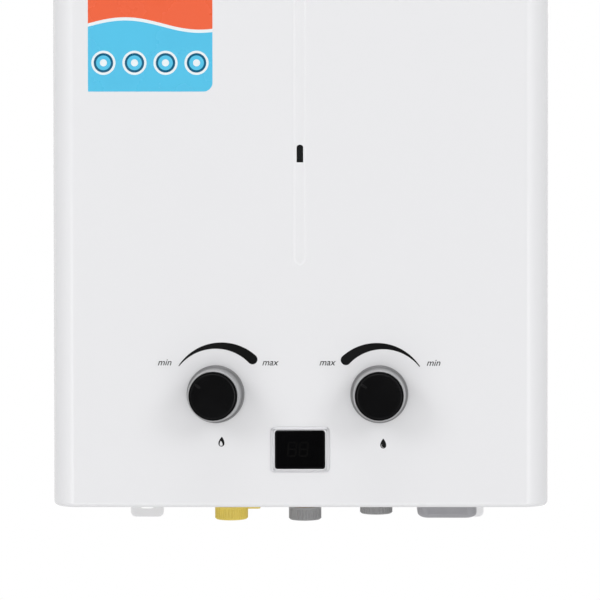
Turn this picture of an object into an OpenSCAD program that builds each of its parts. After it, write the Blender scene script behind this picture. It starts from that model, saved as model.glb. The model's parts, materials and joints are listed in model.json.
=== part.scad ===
// Tankless gas water heater: wall-hung, open flue, battery ignition.
// It is drawn from the wall plane (y = 0, front towards -Y) and the casing's lower edge (z = 0).
// Every node is then lowered so that the origin lies in the wall plane, amid the four wall slots.

/* [Casing] */
// Width of the casing
casing_w = 340; // [335:1:380]
// Height of the casing
casing_h = 590; // [575:1:660]
// Depth from the wall to the front face
casing_d = 138; // [136:1:165]
// Thickness of the pressed sheet
sheet_t = 0.8; // [0.6:0.1:1.2]
// Radius of the upright front edges
edge_r = 13; // [8:0.5:18]
// Radius of the folds along the top and bottom of the front
fold_r = 3; // [2:0.5:6]
// Radius of the corners seen from the front
corner_r = 4; // [2:0.5:8]
// Width of the flange turned in along the cover's lower edge
lip_w = 14; // [12:1:20]
// Gap between the cover and the chassis inside it
cover_gap = 0.4; // [0.2:0.1:0.8]
// Gap between the cover's rear edge and the wall
rear_gap = 2; // [1:0.5:5]
// Length of a vent slot in the cover's top
vent_l = 44; // [30:1:60]
// Width of a vent slot
vent_w = 4; // [3:0.5:6]
// Distance from one vent slot to the next
vent_pitch = 11; // [9:0.5:12]
// Vent slots on each side of the flue
vent_count = 8; // [4:1:9]

/* [Front] */
// Width of the pressed groove at the surface
groove_w = 10.6; // [9:0.1:14]
// Width of the groove's floor
groove_floor_w = 5.8; // [5.6:0.1:8]
// Depth of the groove
groove_depth = 1; // [0.5:0.1:1.5]
// Height of the groove's lower end
groove_low = 164; // [150:0.5:200]
// Height of the groove's upper end
groove_high = 545; // [420:1:555]
// Width of the sight slot
sight_w = 4.5; // [3:0.1:5.2]
// Height of the sight slot
sight_h = 12; // [8:0.1:18]
// Height of the sight slot's lower edge
sight_z = 235.2; // [230:0.2:250]
// Border of the sight glass round its slot
glass_border = 5; // [3:0.5:8]
// Thickness of the sight glass
glass_t = 2; // [1:0.5:4]

/* [Chassis] */
// Depth of the flanges turned forward round the back plate
plate_flange = 20; // [15:1:30]
// Gap above and below the back plate inside the cover
plate_margin = 6; // [4:0.5:10]
// Width of a lower wall tab
tab_w = 24.6; // [22:0.2:34]
// Drop of the wall tabs below the casing
tab_drop = 22.6; // [22:0.2:32]
// Radius of the wall tabs' lower corners
tab_r = 4; // [2:0.5:8]
// Half the distance between the two columns of wall slots
slot_x = 119.5; // [118:0.5:135]
// Height of the lower wall slots
low_slot_z = -13; // [-14:0.5:-10]
// Height of the upper wall slots
high_slot_z = 545; // [535:1:552]
// Length of a wall slot
wall_slot_l = 12; // [10:0.5:16]
// Width of a wall slot
wall_slot_w = 7; // [5:0.5:8]
// Width of the stiffening beads in the back plate
bead_w = 12; // [8:0.5:16]
// Depth of the stiffening beads
bead_depth = 2; // [1:0.5:2.5]
// Height of the beads' lower ends
bead_low = 150; // [140:1:200]
// Height of the beads' upper ends
bead_high = 500; // [400:1:520]
// Half the distance between the outer beads
bead_x = 148; // [146:1:150]
// Length of an air slot in the bottom plate
air_l = 24; // [14:1:26]
// Width of an air slot
air_w = 5; // [3:0.5:6]
// Distance from one air slot to the next
air_pitch = 10; // [8:0.5:14]
// Height of the bottom plate's turned-up edges
plate_lip = 14; // [8:1:18]
// Diameter of the sheet-metal screws
screw_d = 4; // [3:0.5:5]
// Diameter of a screw head
head_d = 7.5; // [6.5:0.5:9]
// Height of a screw head
head_h = 2.4; // [2:0.2:4]
// Half the distance between the outer two screws at the rear
rear_screw_x = 75; // [70:1:76]
// Distance of the cover screws from the wall
cover_screw_out = 90; // [60:1:110]

/* [Knobs] */
// Distance of the gas knob's axis from the middle
gas_knob_x = 57.4; // [56:0.1:58]
// Distance of the water knob's axis from the middle
water_knob_x = 54; // [53:0.1:56]
// Height of the knob axes
knob_z = 77.5; // [75:0.5:80]
// Diameter of a knob's foot
knob_foot_d = 39.4; // [38.6:0.1:42]
// Diameter of a knob's front edge
knob_front_d = 34.4; // [34.2:0.1:36]
// Height of a knob's foot rim
knob_rim_h = 2; // [1:0.2:4]
// Height of a knob's skirt above its foot
knob_h = 23.6; // [20:0.2:30]
// Gap between a knob and the panel
knob_gap = 0.8; // [0.5:0.1:1]
// Wall of a knob's skirt
knob_wall = 2; // [1.5:0.1:3]
// Diameter of the black disc in a knob's face
disc_d = 32; // [28:0.1:32.2]
// Thickness of the disc
disc_t = 2.8; // [2:0.1:4]
// Height by which the disc stands out of the skirt
disc_rise = 1.2; // [0.5:0.1:1.8]
// Width of the raised pointer on the disc
pointer_w = 1.6; // [1:0.1:3]
// Length of the pointer
pointer_l = 4; // [2:0.5:8]
// Distance of the pointer from the knob's axis
pointer_r = 12.2; // [8:0.1:13]
// Angle through which a knob turns, half to each side of the top
knob_turn = 113; // [90:1:240]
// Diameter of the spindles
spindle_d = 8; // [7:0.5:9]
// Depth of the flat on a spindle
spindle_flat = 1.5; // [0.5:0.1:2]
// Diameter of the hub inside a knob
hub_d = 15; // [13:0.5:18]
// Diameter of the panel holes for the spindles
spindle_hole_d = 16; // [12:0.5:24]

/* [Display] */
// Height of the display's middle
display_z = 39.6; // [36:0.1:42]
// Outer width of the bezel
bezel_w = 40; // [38:0.2:46]
// Outer height of the bezel
bezel_h = 30.8; // [30:0.2:34]
// Border of the bezel beside the window
bezel_side = 3.4; // [3:0.1:5]
// Border of the bezel above and below the window
bezel_rail = 2.9; // [2.6:0.1:4]
// Height of the bezel above the panel
bezel_rise = 1.8; // [1:0.1:3]
// Corner radius of the bezel
bezel_r = 2.4; // [1.5:0.1:2.8]
// Wall of the bezel's neck behind the panel
neck_wall = 1.4; // [1:0.1:2]
// Depth of the bezel's neck behind the front face
neck_depth = 8; // [6:0.5:10]
// Thickness of the window
window_t = 2; // [1:0.1:3]
// Depth of the window below the bezel's front
window_drop = 0.6; // [0.2:0.1:1.2]
// Thickness of the display's circuit board
board_t = 1.6; // [1:0.1:2.4]

/* [Connections] */
// Side offset of the gas and cold-water connections from the middle
pipe_x = 51.7; // [51:0.1:55]
// Distance of the gas connection from the wall
gas_out = 68; // [66:0.5:70]
// Distance of the water connections from the wall
water_out = 43; // [41:0.5:44]
// Outer diameter of the connection threads
thread_d = 20.96; // [20:0.01:22]
// Bore of the connections
thread_bore = 14; // [11:0.5:15]
// Width across the flats of the nipple hexagons and nuts
hex_af = 27; // [25:0.5:29]
// Height of the hexagon under the bottom plate
hex_h = 3.6; // [3:0.2:4]
// Height of the nuts above the bottom plate
nut_h = 5; // [4:0.5:8]
// Height of the gas connection's end
gas_end = -14.2; // [-18:0.1:-14]
// Height of the hot-water connection's end
hot_end = -17.5; // [-21:0.1:-16]
// Height of the cold-water connection's end
cold_end = -13.1; // [-17:0.1:-13]
// Height of the nipples' inner ends
nipple_top = 28; // [24:1:32]
// Length of a transit cap
cap_len = 9.2; // [8:0.1:10]
// Radial gap between a transit cap and the thread
cap_gap = 0.6; // [0.6:0.05:1]
// Wall of a transit cap
cap_wall = 0.5; // [0.5:0.1:2]
// Thickness of a transit cap's floor
cap_floor = 1.5; // [1:0.1:2.5]
// Gap between a cap's floor and the end of its thread
cap_seat = 0.3; // [0.2:0.1:0.5]
// Grip ribs round a transit cap
cap_ribs = 36; // [24:2:48]
// Height of the grip ribs
rib_h = 0.2; // [0.2:0.1:0.8]
// Length of a cap's pull tab
cap_tab_l = 9.5; // [6:0.5:12]
// Width of a cap's pull tab
cap_tab_w = 7; // [5:0.5:9]
// Thickness of a cap's pull tab
cap_tab_t = 1.6; // [1:0.1:2.5]

/* [Battery box] */
// Sideways place of the battery box's middle
battery_x = 101.4; // [101:0.2:108]
// Distance of the battery box's middle from the wall
battery_out = 70.5; // [66:0.5:72]
// Diameter of a cell
cell_d = 33.2; // [32:0.1:34]
// Length of a cell without its stud
cell_l = 60; // [56:0.5:62]
// Height of a cell's stud
stud_h = 1.5; // [1:0.1:2]
// Diameter of a cell's stud
stud_d = 9.5; // [7:0.5:11]
// Gap round each cell
cell_gap = 0.6; // [0.4:0.1:0.8]
// Wall of the battery box
box_wall = 2; // [1.5:0.1:2.2]
// Thickness of the box's flange under the bottom plate
box_flange_t = 2; // [1.5:0.1:2.4]
// Rim of the lid outside the box
lid_rim = 1.5; // [1:0.1:1.8]
// Height of the lid
lid_h = 10.2; // [8:0.2:12]
// Wall of the lid
lid_wall = 1.8; // [1.2:0.1:2]
// Radius of the lid's lower edges
lid_r = 4.5; // [3:0.5:6]
// Gap between the lid's rim and the flange
lid_gap = 0.3; // [0.2:0.1:0.5]
// Diameter of the lid's hinge pin
hinge_pin_d = 2.5; // [2:0.1:3]
// Outer diameter of the hinge knuckles
knuckle_d = 6; // [5:0.2:6.4]
// Length of each hinge knuckle
knuckle_l = 7; // [5:0.5:9]
// Thickness of the contact strips
contact_t = 0.5; // [0.3:0.1:0.8]

/* [Valves] */
// Outer diameter of the gas valve
gas_valve_d = 48; // [46:0.5:52]
// Length of the gas valve
gas_valve_l = 56; // [54:0.5:58]
// Distance of the gas valve's right end from the middle
gas_valve_x = 30; // [28:0.5:31]
// Diameter of the gas chamber
chamber_d = 32; // [30:0.5:34]
// Distance of the valve seat from the gas valve's right end
seat_in = 13; // [12:0.5:14]
// Thickness of the valve seat
seat_t = 3; // [2:0.2:4]
// Diameter of the hole in the valve seat
seat_d = 16; // [12:0.5:18]
// Diameter of the gas valve's disc
gas_disc_d = 24; // [21:0.5:26]
// Thickness of the gas valve's disc
gas_disc_t = 4; // [3:0.2:5]
// Travel of the push rod
rod_travel = 4; // [2:0.5:5]
// Diameter of the push rod
rod_d = 6; // [5:0.5:7]
// Diameter of the diaphragm housing
housing_d = 68; // [66:0.5:72]
// Distance of the diaphragm housing's left face from the middle
housing_x = 10.5; // [10:0.5:12]
// Length of the housing's cover
housing_cover_l = 13; // [12:0.5:14]
// Length of the housing's body flange
housing_body_l = 13; // [11:0.5:15]
// Diameter of the diaphragm chambers
diaphragm_bore = 48; // [44:0.5:50]
// Thickness of the diaphragm
diaphragm_t = 2; // [1.5:0.1:3]
// Diameter of the rod's diaphragm plate
rod_plate_d = 40; // [30:0.5:43]
// Thickness of the rod's diaphragm plate
rod_plate_t = 2.5; // [1.5:0.1:3]
// Diameter of the rod's switch collar
collar_plate_d = 22; // [21:0.5:24]
// Thickness of the rod's switch collar
collar_plate_t = 2; // [1:0.2:3]
// Screws round the diaphragm housing
housing_screws_n = 6; // [4:1:8]
// Diameter of the water valve's barrel
barrel_d = 36; // [32:0.5:40]
// Length of the water valve's barrel
barrel_l = 40; // [38:0.5:42]
// Diameter of the bosses on the valves
boss_d = 22; // [20:0.5:26]
// Distance from the push rod to the front end of the spindle bosses
boss_reach = 36; // [32:0.5:40]
// Rise of the valves' outlet bosses above the push rod
outlet_rise = 30; // [28:0.5:32]
// Diameter of the wire of the gas valve's spring
wire_d = 1.4; // [1:0.1:1.8]
// Mean diameter of the gas valve's spring
coil_d = 15; // [12:0.5:18]
// Turns of the gas valve's spring
coil_turns = 6; // [4:1:8]
// Diameter of the solenoid's coil
solenoid_d = 28; // [24:0.5:32]
// Length of the solenoid's coil
solenoid_l = 26; // [20:0.5:28]
// Length of the microswitch
switch_l = 12; // [10:0.5:12]
// Height of the microswitch
switch_h = 10; // [8:0.5:14]
// Width of the microswitch
switch_w = 6.4; // [5:0.2:8]
// Travel of the microswitch's button
button_travel = 1.6; // [0.8:0.1:2]
// Diameter of the microswitch's button
button_d = 2.4; // [2:0.1:3]

/* [Burner] */
// Number of burner strips
strip_count = 10; // [6:1:10]
// Room beside the outer strips
strip_side = 4; // [3:0.5:8]
// Width of a strip's head
strip_w = 12; // [9:0.5:14]
// Height of a strip's head
strip_head_h = 24; // [20:0.5:26]
// Height of the strips' tops
strip_top = 222; // [218:0.5:223]
// Width of a strip's neck
strip_neck_w = 5; // [3:0.5:7]
// Diameter of a strip's mixing tube
strip_tube_d = 13; // [11:0.5:15]
// Drop from the strips' tops to their mixing tubes
strip_tube_drop = 51; // [50:0.5:54]
// Flame slots in each strip
flame_slots = 9; // [5:1:11]
// Width of a flame slot
flame_slot_w = 1.6; // [1:0.1:2.4]
// Height of the burner frame
frame_h = 36; // [34:0.5:40]
// Width of the square gas manifold
manifold_w = 14; // [12:0.5:15]
// Length of the gas manifold
manifold_l = 188; // [180:1:196]
// Gap between the manifold and the strips' mouths
nozzle_reach = 6; // [5:0.5:6]
// Diameter of the gas nozzles
nozzle_d = 7; // [5:0.5:8]
// Diameter of the electrodes' ceramics
ceramic_d = 6; // [4:0.5:7]
// Half the distance between the two electrodes
electrode_x = 27; // [20:0.5:34]

/* [Heat exchanger] */
// Outer width of the combustion jacket
jacket_w = 190; // [188:1:194]
// Outer depth of the combustion jacket
jacket_dp = 92; // [91:0.5:93]
// Distance of the jacket's middle from the wall
jacket_out = 66; // [65.5:0.5:66.5]
// Height of the jacket's lower edge
jacket_low = 232; // [230:1:233]
// Height of the jacket
jacket_h = 188; // [180:1:190]
// Wall of the copper jacket
jacket_t = 1; // [0.6:0.1:1.4]
// Corner radius of the jacket
jacket_r = 6; // [5:0.5:8]
// Diameter of the heat-exchanger tubes
tube_d = 13; // [11:0.5:14]
// Distance from one tube to the next
tube_pitch = 16; // [15.5:0.1:16.4]
// Drop from the jacket's top to the tubes
tube_drop = 42; // [38:0.5:46]
// Reach of the tubes outside the jacket
tube_reach = 5; // [4:0.5:6]
// Number of fins
fin_count = 30; // [12:1:36]
// Thickness of a fin
fin_t = 0.6; // [0.3:0.1:1]
// Height of a fin
fin_h = 60; // [50:0.5:64]
// Gap round the tubes in fins and jacket
tube_gap = 0.2; // [0.1:0.05:0.3]
// Outer diameter of the copper pipes
pipe_d = 14; // [12:0.5:14.5]
// Wall of the copper pipes
pipe_wall = 0.8; // [0.6:0.1:1.2]
// Bend radius at the middle of a pipe
bend_r = 10; // [9:0.5:10]
// Gap between the jacket and the pipe coiled round it
coil_gap = 0.3; // [0.2:0.1:0.6]
// Height of the pipe's turn round the jacket
coil_z = 292; // [285:1:300]
// Rise of the pipe behind the jacket
coil_rise = 30; // [26:0.5:34]
// Height of the cold pipe's turn below the burner
cold_turn_z = 124; // [121:0.5:126]
// Height of the hot pipe's lower turn
hot_low_z = 128; // [124:0.5:130]
// Height of the hot pipe's upper turn
hot_high_z = 190; // [180:1:200]
// Sideways place of the hot pipe's drop
hot_drop_x = 122; // [119:0.5:123]

/* [Flue] */
// Width of the draught hood's foot
hood_w = 196; // [192:1:204]
// Width of the draught hood's top
hood_top_w = 128; // [122:1:140]
// Depth of the draught hood
hood_dp = 116; // [115:0.5:118]
// Height of the draught hood
hood_h = 100; // [90:1:110]
// Outer diameter of the flue collar
collar_d = 109.5; // [100:0.5:110]
// Wall of the flue collar
collar_t = 1; // [0.6:0.1:1.4]
// Rise of the flue collar above the casing
collar_rise = 42; // [30:1:60]
// Gap between the flue collar and the cover
collar_gap = 4; // [2:0.5:6]
// Width of the draught break in the hood's rear
break_w = 110; // [80:1:120]
// Height of the draught break
break_h = 34; // [24:1:44]

/* [Controls inside] */
// Width of the ignition controller
controller_w = 30; // [26:0.5:32]
// Height of the ignition controller
controller_h = 96; // [80:1:110]
// Depth of the ignition controller
controller_dp = 58; // [40:1:70]
// Height of the ignition controller's lower edge
controller_z = 34; // [28:1:40]
// Diameter of the thermostats
thermostat_d = 16; // [12:0.5:20]
// Height of the thermostats
thermostat_h = 6; // [4:0.5:8]
// Diameter of the outlet temperature sensor
sensor_d = 8; // [6:0.5:10]
// Length of the outlet temperature sensor
sensor_l = 16; // [12:0.5:20]

/* [Hidden] */
$fn = 48;
eps = 0.01;
run_gap = 0.1;
seat_gap = 0.1;

// Levels and middles that several pieces share
origin_z = (low_slot_z + high_slot_z) / 2;
plate_w = casing_w - 2 * (sheet_t + cover_gap);
floor_low = sheet_t + cover_gap;
floor_top = floor_low + sheet_t;
floor_w = min(plate_w - 2 * (sheet_t + cover_gap), casing_w - 2 * corner_r);
floor_front = casing_d - sheet_t - fold_r - cover_gap;
rod_out = gas_out;
thread_r = thread_d / 2;
neck_d = thread_d - 2;
pipe_r = pipe_d / 2;

// Front panel
front_y = -casing_d;
cover_screw_x = (casing_w - lip_w) / 2;
window_w = bezel_w - 2 * bezel_side;
window_h = bezel_h - 2 * bezel_rail;
neck_w = window_w + 2 * neck_wall;
neck_h = window_h + 2 * neck_wall;
disc_seat = knob_h + disc_rise - disc_t;
hub_top = disc_seat - knob_wall;
pointer_turn = knob_turn / 2;

// Battery box
box_in_w = cell_d + 2 * cell_gap;
box_in_l = 2 * cell_d + 3 * cell_gap;
box_out_w = box_in_w + 2 * box_wall;
box_out_l = box_in_l + 2 * box_wall;
lid_w = box_out_w + 2 * lid_rim;
lid_l = box_out_l + 2 * lid_rim;
flange_low = floor_low - box_flange_t;
lid_top = flange_low - lid_gap;
lid_low = lid_top - lid_h;
cell_low = flange_low + 1.5;
cell_top = cell_low + cell_l + stud_h;
box_top = cell_top + contact_t + 2 * seat_gap;
cell_step = (cell_d + cell_gap) / 2;
hinge_y = -(battery_out - lid_l / 2 - knuckle_d / 2 - lid_gap);
hinge_z = lid_top - knuckle_d / 2;
ear_t = box_flange_t / 2;
ear_w = head_d + 3;
box_screw_x = lid_w / 2 + head_d / 2 + 0.8;

// Gas side of the valves, along the push rod
gas_left = -gas_valve_x - gas_valve_l;
seat_right = -gas_valve_x - seat_in;
seat_left = seat_right - seat_t;
disc_right = seat_left - cap_seat;
disc_left = disc_right - gas_disc_t;
outlet_x = seat_right + seat_in / 2 - 1.5;
spring_l = disc_left - gas_left - 2 * seat_gap;

// Water side of the valves
diaphragm_left = housing_x + housing_cover_l;
diaphragm_right = diaphragm_left + diaphragm_t;
barrel_left = diaphragm_right + housing_body_l;
rod_plate_right = diaphragm_left - 2 * run_gap;
screw_ring_r = (housing_d / 2 + diaphragm_bore / 2) / 2;
switch_right = housing_x - 2;
switch_left = switch_right - switch_l;
collar_right = switch_left - 2.4;
switch_z = knob_z + rod_d / 2 + 4;
button_z = switch_z + 3;
valve_top = knob_z + outlet_rise;
gas_turn_z = cold_turn_z + 6;

// Burner
strip_pitch = (jacket_w - 2 * (jacket_t + strip_side)) / strip_count;
strip_l = jacket_dp - 2 * jacket_t - 6;
strip_low = strip_top - strip_head_h;
tube_z = strip_top - strip_tube_drop;
frame_low = jacket_low - frame_h;
mouth_out = jacket_out + jacket_dp / 2;
manifold_out = mouth_out + nozzle_reach + manifold_w / 2;
electrode_z = (strip_top + jacket_low) / 2;

// Heat exchanger
jacket_top = jacket_low + jacket_h;
tubes = 5;
tubes_z = jacket_top - tube_drop;
tube_end = jacket_w / 2 + tube_reach;
tube_out_first = jacket_out + (tubes - 1) / 2 * tube_pitch;
tube_out_last = jacket_out - (tubes - 1) / 2 * tube_pitch;
fin_span = jacket_w - 2 * jacket_t - 2 * jacket_r;
coil_x = jacket_w / 2 + pipe_r + coil_gap;
coil_front = jacket_out + jacket_dp / 2 + pipe_r + coil_gap;
coil_rear = jacket_out - jacket_dp / 2 - pipe_r - coil_gap;
coil_step_x = 40;
inlet_x = tube_end + bend_r + tube_pitch / 2 + 3;
hood_top = jacket_top + hood_h;
collar_top = casing_h + collar_rise;

cold_route = [
    [water_knob_x, -rod_out, valve_top],
    [water_knob_x, -rod_out, cold_turn_z],
    [coil_x, -rod_out, cold_turn_z],
    [coil_x, -rod_out, coil_z],
    [coil_x, -coil_front, coil_z],
    [-coil_x, -coil_front, coil_z],
    [-coil_x, -coil_rear, coil_z],
    [coil_step_x, -coil_rear, coil_z],
    [coil_step_x, -coil_rear, coil_z + coil_rise],
    [inlet_x, -coil_rear, coil_z + coil_rise],
    [inlet_x, -tube_out_last, coil_z + coil_rise],
    [inlet_x, -tube_out_last, tubes_z],
    [tube_end, -tube_out_last, tubes_z]
];
hot_route = [
    [-tube_end, -tube_out_first, tubes_z],
    [-hot_drop_x, -tube_out_first, tubes_z],
    [-hot_drop_x, -tube_out_first, hot_high_z],
    [-hot_drop_x, -water_out, hot_high_z],
    [-hot_drop_x, -water_out, hot_low_z],
    [0, -water_out, hot_low_z],
    [0, -water_out, nipple_top]
];
gas_route = [
    [outlet_x, -rod_out, valve_top],
    [outlet_x, -rod_out, gas_turn_z],
    [outlet_x, -manifold_out, gas_turn_z],
    [outlet_x, -manifold_out, tube_z - manifold_w / 2]
];

// Shared shapes

function unit(v) = v / norm(v);

module from_base() {
    translate([0, 0, -origin_z]) children();
}

// A child drawn along +Z is laid along +X, or towards the front
module along_x(x, y, z) {
    translate([x, y, z]) rotate([0, 90, 0]) children();
}

module to_front(x, y, z) {
    translate([x, y, z]) rotate([90, 0, 0]) children();
}

module rounded_rect(w, h, r) {
    square([w - 2 * r, h], center = true);
    square([w, h - 2 * r], center = true);
    for (sx = [-1, 1], sy = [-1, 1])
        translate([sx * (w / 2 - r), sy * (h / 2 - r)]) circle(r);
}

module stadium(l, w) {
    square([l - w, w], center = true);
    for (s = [-1, 1])
        translate([s * (l - w) / 2, 0]) circle(d = w);
}

module ring(d, bore) {
    difference() {
        circle(d = d);
        circle(d = bore);
    }
}

// Straight stretch of a pipe between two points along an axis
module pipe_stretch(p, q, d, bore) {
    ez = unit(q - p);
    ex = abs(ez.z) > 0.5 ? [1, 0, 0] : [0, 0, 1];
    ey = cross(ez, ex);
    multmatrix([
        [ex.x, ey.x, ez.x, p.x],
        [ex.y, ey.y, ez.y, p.y],
        [ex.z, ey.z, ez.z, p.z],
        [0, 0, 0, 1]
    ]) linear_extrude(norm(q - p)) ring(d, bore);
}

// Quarter bend of a pipe that arrives along one axis and leaves along another
module pipe_bend(corner, arrive, leave, r, d, bore) {
    ex = -leave;
    ey = arrive;
    ez = cross(ex, ey);
    middle = corner + r * (leave - arrive);
    multmatrix([
        [ex.x, ey.x, ez.x, middle.x],
        [ex.y, ey.y, ez.y, middle.y],
        [ex.z, ey.z, ez.z, middle.z],
        [0, 0, 0, 1]
    ]) rotate_extrude(angle = 90) translate([r, 0]) ring(d, bore);
}

module pipe_run(route, r, d, bore) {
    last = len(route) - 1;
    for (i = [0 : last - 1]) {
        way = unit(route[i + 1] - route[i]);
        from = i == 0 ? route[i] : route[i] + r * way;
        to = i == last - 1 ? route[i + 1] : route[i + 1] - r * way;
        pipe_stretch(from, to, d, bore);
    }
    for (i = [1 : last - 1])
        pipe_bend(route[i], unit(route[i] - route[i - 1]), unit(route[i + 1] - route[i]), r, d, bore);
}

// Pan-head screw along +Z with its head below z = 0
module pan_screw(length) {
    cylinder(d = screw_d, h = length);
    translate([0, 0, -head_h]) cylinder(d1 = head_d - 1.5, d2 = head_d, h = head_h);
}

// Casing

// Outline of the casing in plan, with rounded front edges
module plan_outline(w, d, r) {
    translate([-w / 2, r - d]) square([w, d - r]);
    translate([r - w / 2, -d]) square([w - 2 * r, 2 * r]);
    for (s = [-1, 1])
        translate([s * (w / 2 - r), r - d]) circle(r);
}

// Outline of the casing from the side, with rounded folds at the front
module side_outline(d, h, r) {
    translate([r - d, 0]) square([d - r, h]);
    translate([-d, r]) square([2 * r, h - 2 * r]);
    for (z = [r, h - r])
        translate([r - d, z]) circle(r);
}

module casing_block(w, h, d, upright_r, lying_r, front_r) {
    intersection() {
        linear_extrude(h) plan_outline(w, d, upright_r);
        translate([0, 0, h / 2]) rotate([90, 0, 0]) linear_extrude(d) rounded_rect(w, h, front_r);
        translate([-w / 2, 0, 0]) rotate([90, 0, 90]) linear_extrude(w) side_outline(d, h, lying_r);
    }
}

// Long pressed channel with sloping walls, its open side at y = 0 and its floor towards +Y
module channel(low, high, w, floor_w, depth) {
    r = w / 2;
    floor_r = floor_w / 2;
    translate([0, 0, low + r]) linear_extrude(high - low - 2 * r)
        polygon([[-r, 0], [r, 0], [floor_r, depth], [-floor_r, depth]]);
    for (z = [low + r, high - r])
        translate([0, 0, z]) rotate([-90, 0, 0]) cylinder(r1 = r, r2 = floor_r, h = depth);
}

module sight_outline() {
    top_r = sight_w * 0.55;
    translate([-sight_w / 2, 0]) square([sight_w, sight_h - top_r]);
    intersection() {
        translate([0, sight_h - top_r]) circle(top_r);
        translate([-sight_w / 2, 0]) square([sight_w, sight_h]);
    }
}

// Plan of the flue's notch and the vents in the cover's top
module top_openings() {
    notch_d = collar_d + 2 * collar_gap;
    translate([0, -jacket_out]) circle(d = notch_d);
    translate([-notch_d / 2, -jacket_out]) square([notch_d, jacket_out]);
    vent_x = (notch_d / 2 + casing_w / 2 - edge_r) / 2;
    for (s = [-1, 1], i = [0 : vent_count - 1])
        translate([s * vent_x, -jacket_out + (i - (vent_count - 1) / 2) * vent_pitch])
            stadium(vent_l, vent_w);
}

module front_cover() {
    t = sheet_t;
    groove_y = front_y - eps;
    color([0.93, 0.93, 0.94]) from_base() difference() {
        union() {
            difference() {
                casing_block(casing_w, casing_h, casing_d, edge_r, fold_r, corner_r);
                translate([0, 0, t])
                    casing_block(casing_w - 2 * t, casing_h - 2 * t, casing_d - t,
                                 edge_r - t, fold_r - t, corner_r - t);
            }
            translate([0, front_y + t / 2, 0])
                channel(groove_low - t, groove_high + t, groove_w + 2 * t, groove_floor_w + 2 * t,
                        groove_depth + t / 2);
        }
        translate([0, groove_y, 0])
            channel(groove_low, groove_high, groove_w, groove_floor_w, groove_depth + eps);
        translate([-casing_w, -rear_gap, -casing_h / 2]) cube([2 * casing_w, rear_gap + 1, 2 * casing_h]);
        translate([lip_w - casing_w / 2, lip_w - casing_d, -fold_r])
            cube([casing_w - 2 * lip_w, casing_d, 2 * fold_r]);
        translate([0, 0, casing_h - 2 * t]) linear_extrude(4 * t) top_openings();
        for (x = [-gas_knob_x, water_knob_x])
            to_front(x, front_y + 2 * t, knob_z) cylinder(d = spindle_hole_d, h = 4 * t);
        for (s = [-1, 1])
            translate([s * cover_screw_x, -cover_screw_out, -t])
                cylinder(d = screw_d + 2 * run_gap, h = 4 * t);
        to_front(0, front_y + 2 * t, display_z) linear_extrude(4 * t)
            square([neck_w + 2 * run_gap, neck_h + 2 * run_gap], center = true);
        to_front(0, front_y + 2 * (groove_depth + t), sight_z)
            linear_extrude(4 * (groove_depth + t)) sight_outline();
    }
}

module sight_glass() {
    back = front_y + groove_depth + sheet_t + glass_t;
    color([0.35, 0.38, 0.4, 0.6]) from_base()
        to_front(0, back, sight_z + sight_h / 2) linear_extrude(glass_t)
            rounded_rect(sight_w + 2 * glass_border, sight_h + 2 * glass_border, 2);
}

module back_plate_outline() {
    low = plate_margin;
    high = casing_h - plate_margin;
    translate([0, (low + high) / 2]) square([plate_w, high - low], center = true);
    for (s = [-1, 1])
        translate([s * slot_x, (low + plate_lip - tab_drop) / 2])
            rounded_rect(tab_w, low + plate_lip + tab_drop, tab_r);
}

module back_plate() {
    t = sheet_t;
    low = plate_margin;
    high = casing_h - plate_margin;
    color([0.8, 0.81, 0.82]) from_base() difference() {
        union() {
            to_front(0, 0, 0) linear_extrude(t) back_plate_outline();
            for (s = [-1, 1])
                translate([s * (plate_w - t) / 2 - t / 2, -plate_flange, low])
                    cube([t, plate_flange, high - low]);
            translate([-plate_w / 2, -plate_flange, high - t]) cube([plate_w, plate_flange, t]);
            for (x = [-bead_x, bead_x])
                translate([x, -t / 2, 0]) mirror([0, 1, 0])
                    channel(bead_low - t, bead_high + t, bead_w + 2 * t, bead_w / 2 + 2 * t,
                        bead_depth + t / 2);
        }
        for (x = [-bead_x, bead_x])
            translate([x, eps, 0]) mirror([0, 1, 0])
                channel(bead_low, bead_high, bead_w, bead_w / 2, bead_depth + eps);
        translate([0, -jacket_out, high - 2 * t]) cylinder(d = collar_d + 2 * collar_gap, h = 4 * t);
        for (s = [-1, 1], z = [low_slot_z, high_slot_z])
            to_front(s * slot_x, t, z) linear_extrude(3 * t) stadium(wall_slot_l, wall_slot_w);
        for (x = [-rear_screw_x, 0, rear_screw_x])
            to_front(x, t, floor_top + plate_lip / 2) cylinder(d = screw_d + 2 * run_gap, h = 3 * t);
    }
}

// Plan of the bottom plate with its connections, battery opening and air slots
module bottom_plate_plan() {
    front_row = -(floor_front - air_l / 2 - lip_w);
    rear_row = -(air_l / 2 + 3 * sheet_t + 2);
    slots_half = floor((floor_w / 2 - 3 * air_w) / air_pitch);
    battery_left = battery_x - lid_w / 2 - 2 * air_w;
    hex_reach = hex_af / 2 + air_w;
    difference() {
        intersection() {
            plan_outline(floor_w, floor_front, edge_r);
            translate([-floor_w / 2, -floor_front]) square([floor_w, floor_front - sheet_t]);
        }
        translate([-pipe_x, -gas_out]) circle(d = neck_d + 2 * run_gap);
        for (x = [0, pipe_x])
            translate([x, -water_out]) circle(d = neck_d + 2 * run_gap);
        translate([battery_x, -battery_out])
            square([box_out_w + 2 * cover_gap, box_out_l + 2 * cover_gap], center = true);
        for (i = [-slots_half : slots_half]) {
            x = i * air_pitch;
            if (x < battery_left)
                translate([x, front_row]) rotate(90) stadium(air_l, air_w);
            if (x < -pipe_x - hex_reach)
                translate([x, -gas_out]) rotate(90) stadium(2 * air_l, air_w);
            if (x < -hex_reach)
                translate([x, rear_row]) rotate(90) stadium(air_l, air_w);
        }
        for (s = [-1, 1])
            translate([s * cover_screw_x, -cover_screw_out]) circle(d = screw_d + 2 * run_gap);
        for (s = [-1, 1])
            translate([battery_x + s * box_screw_x, -battery_out]) circle(d = screw_d + 2 * run_gap);
    }
}

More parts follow.
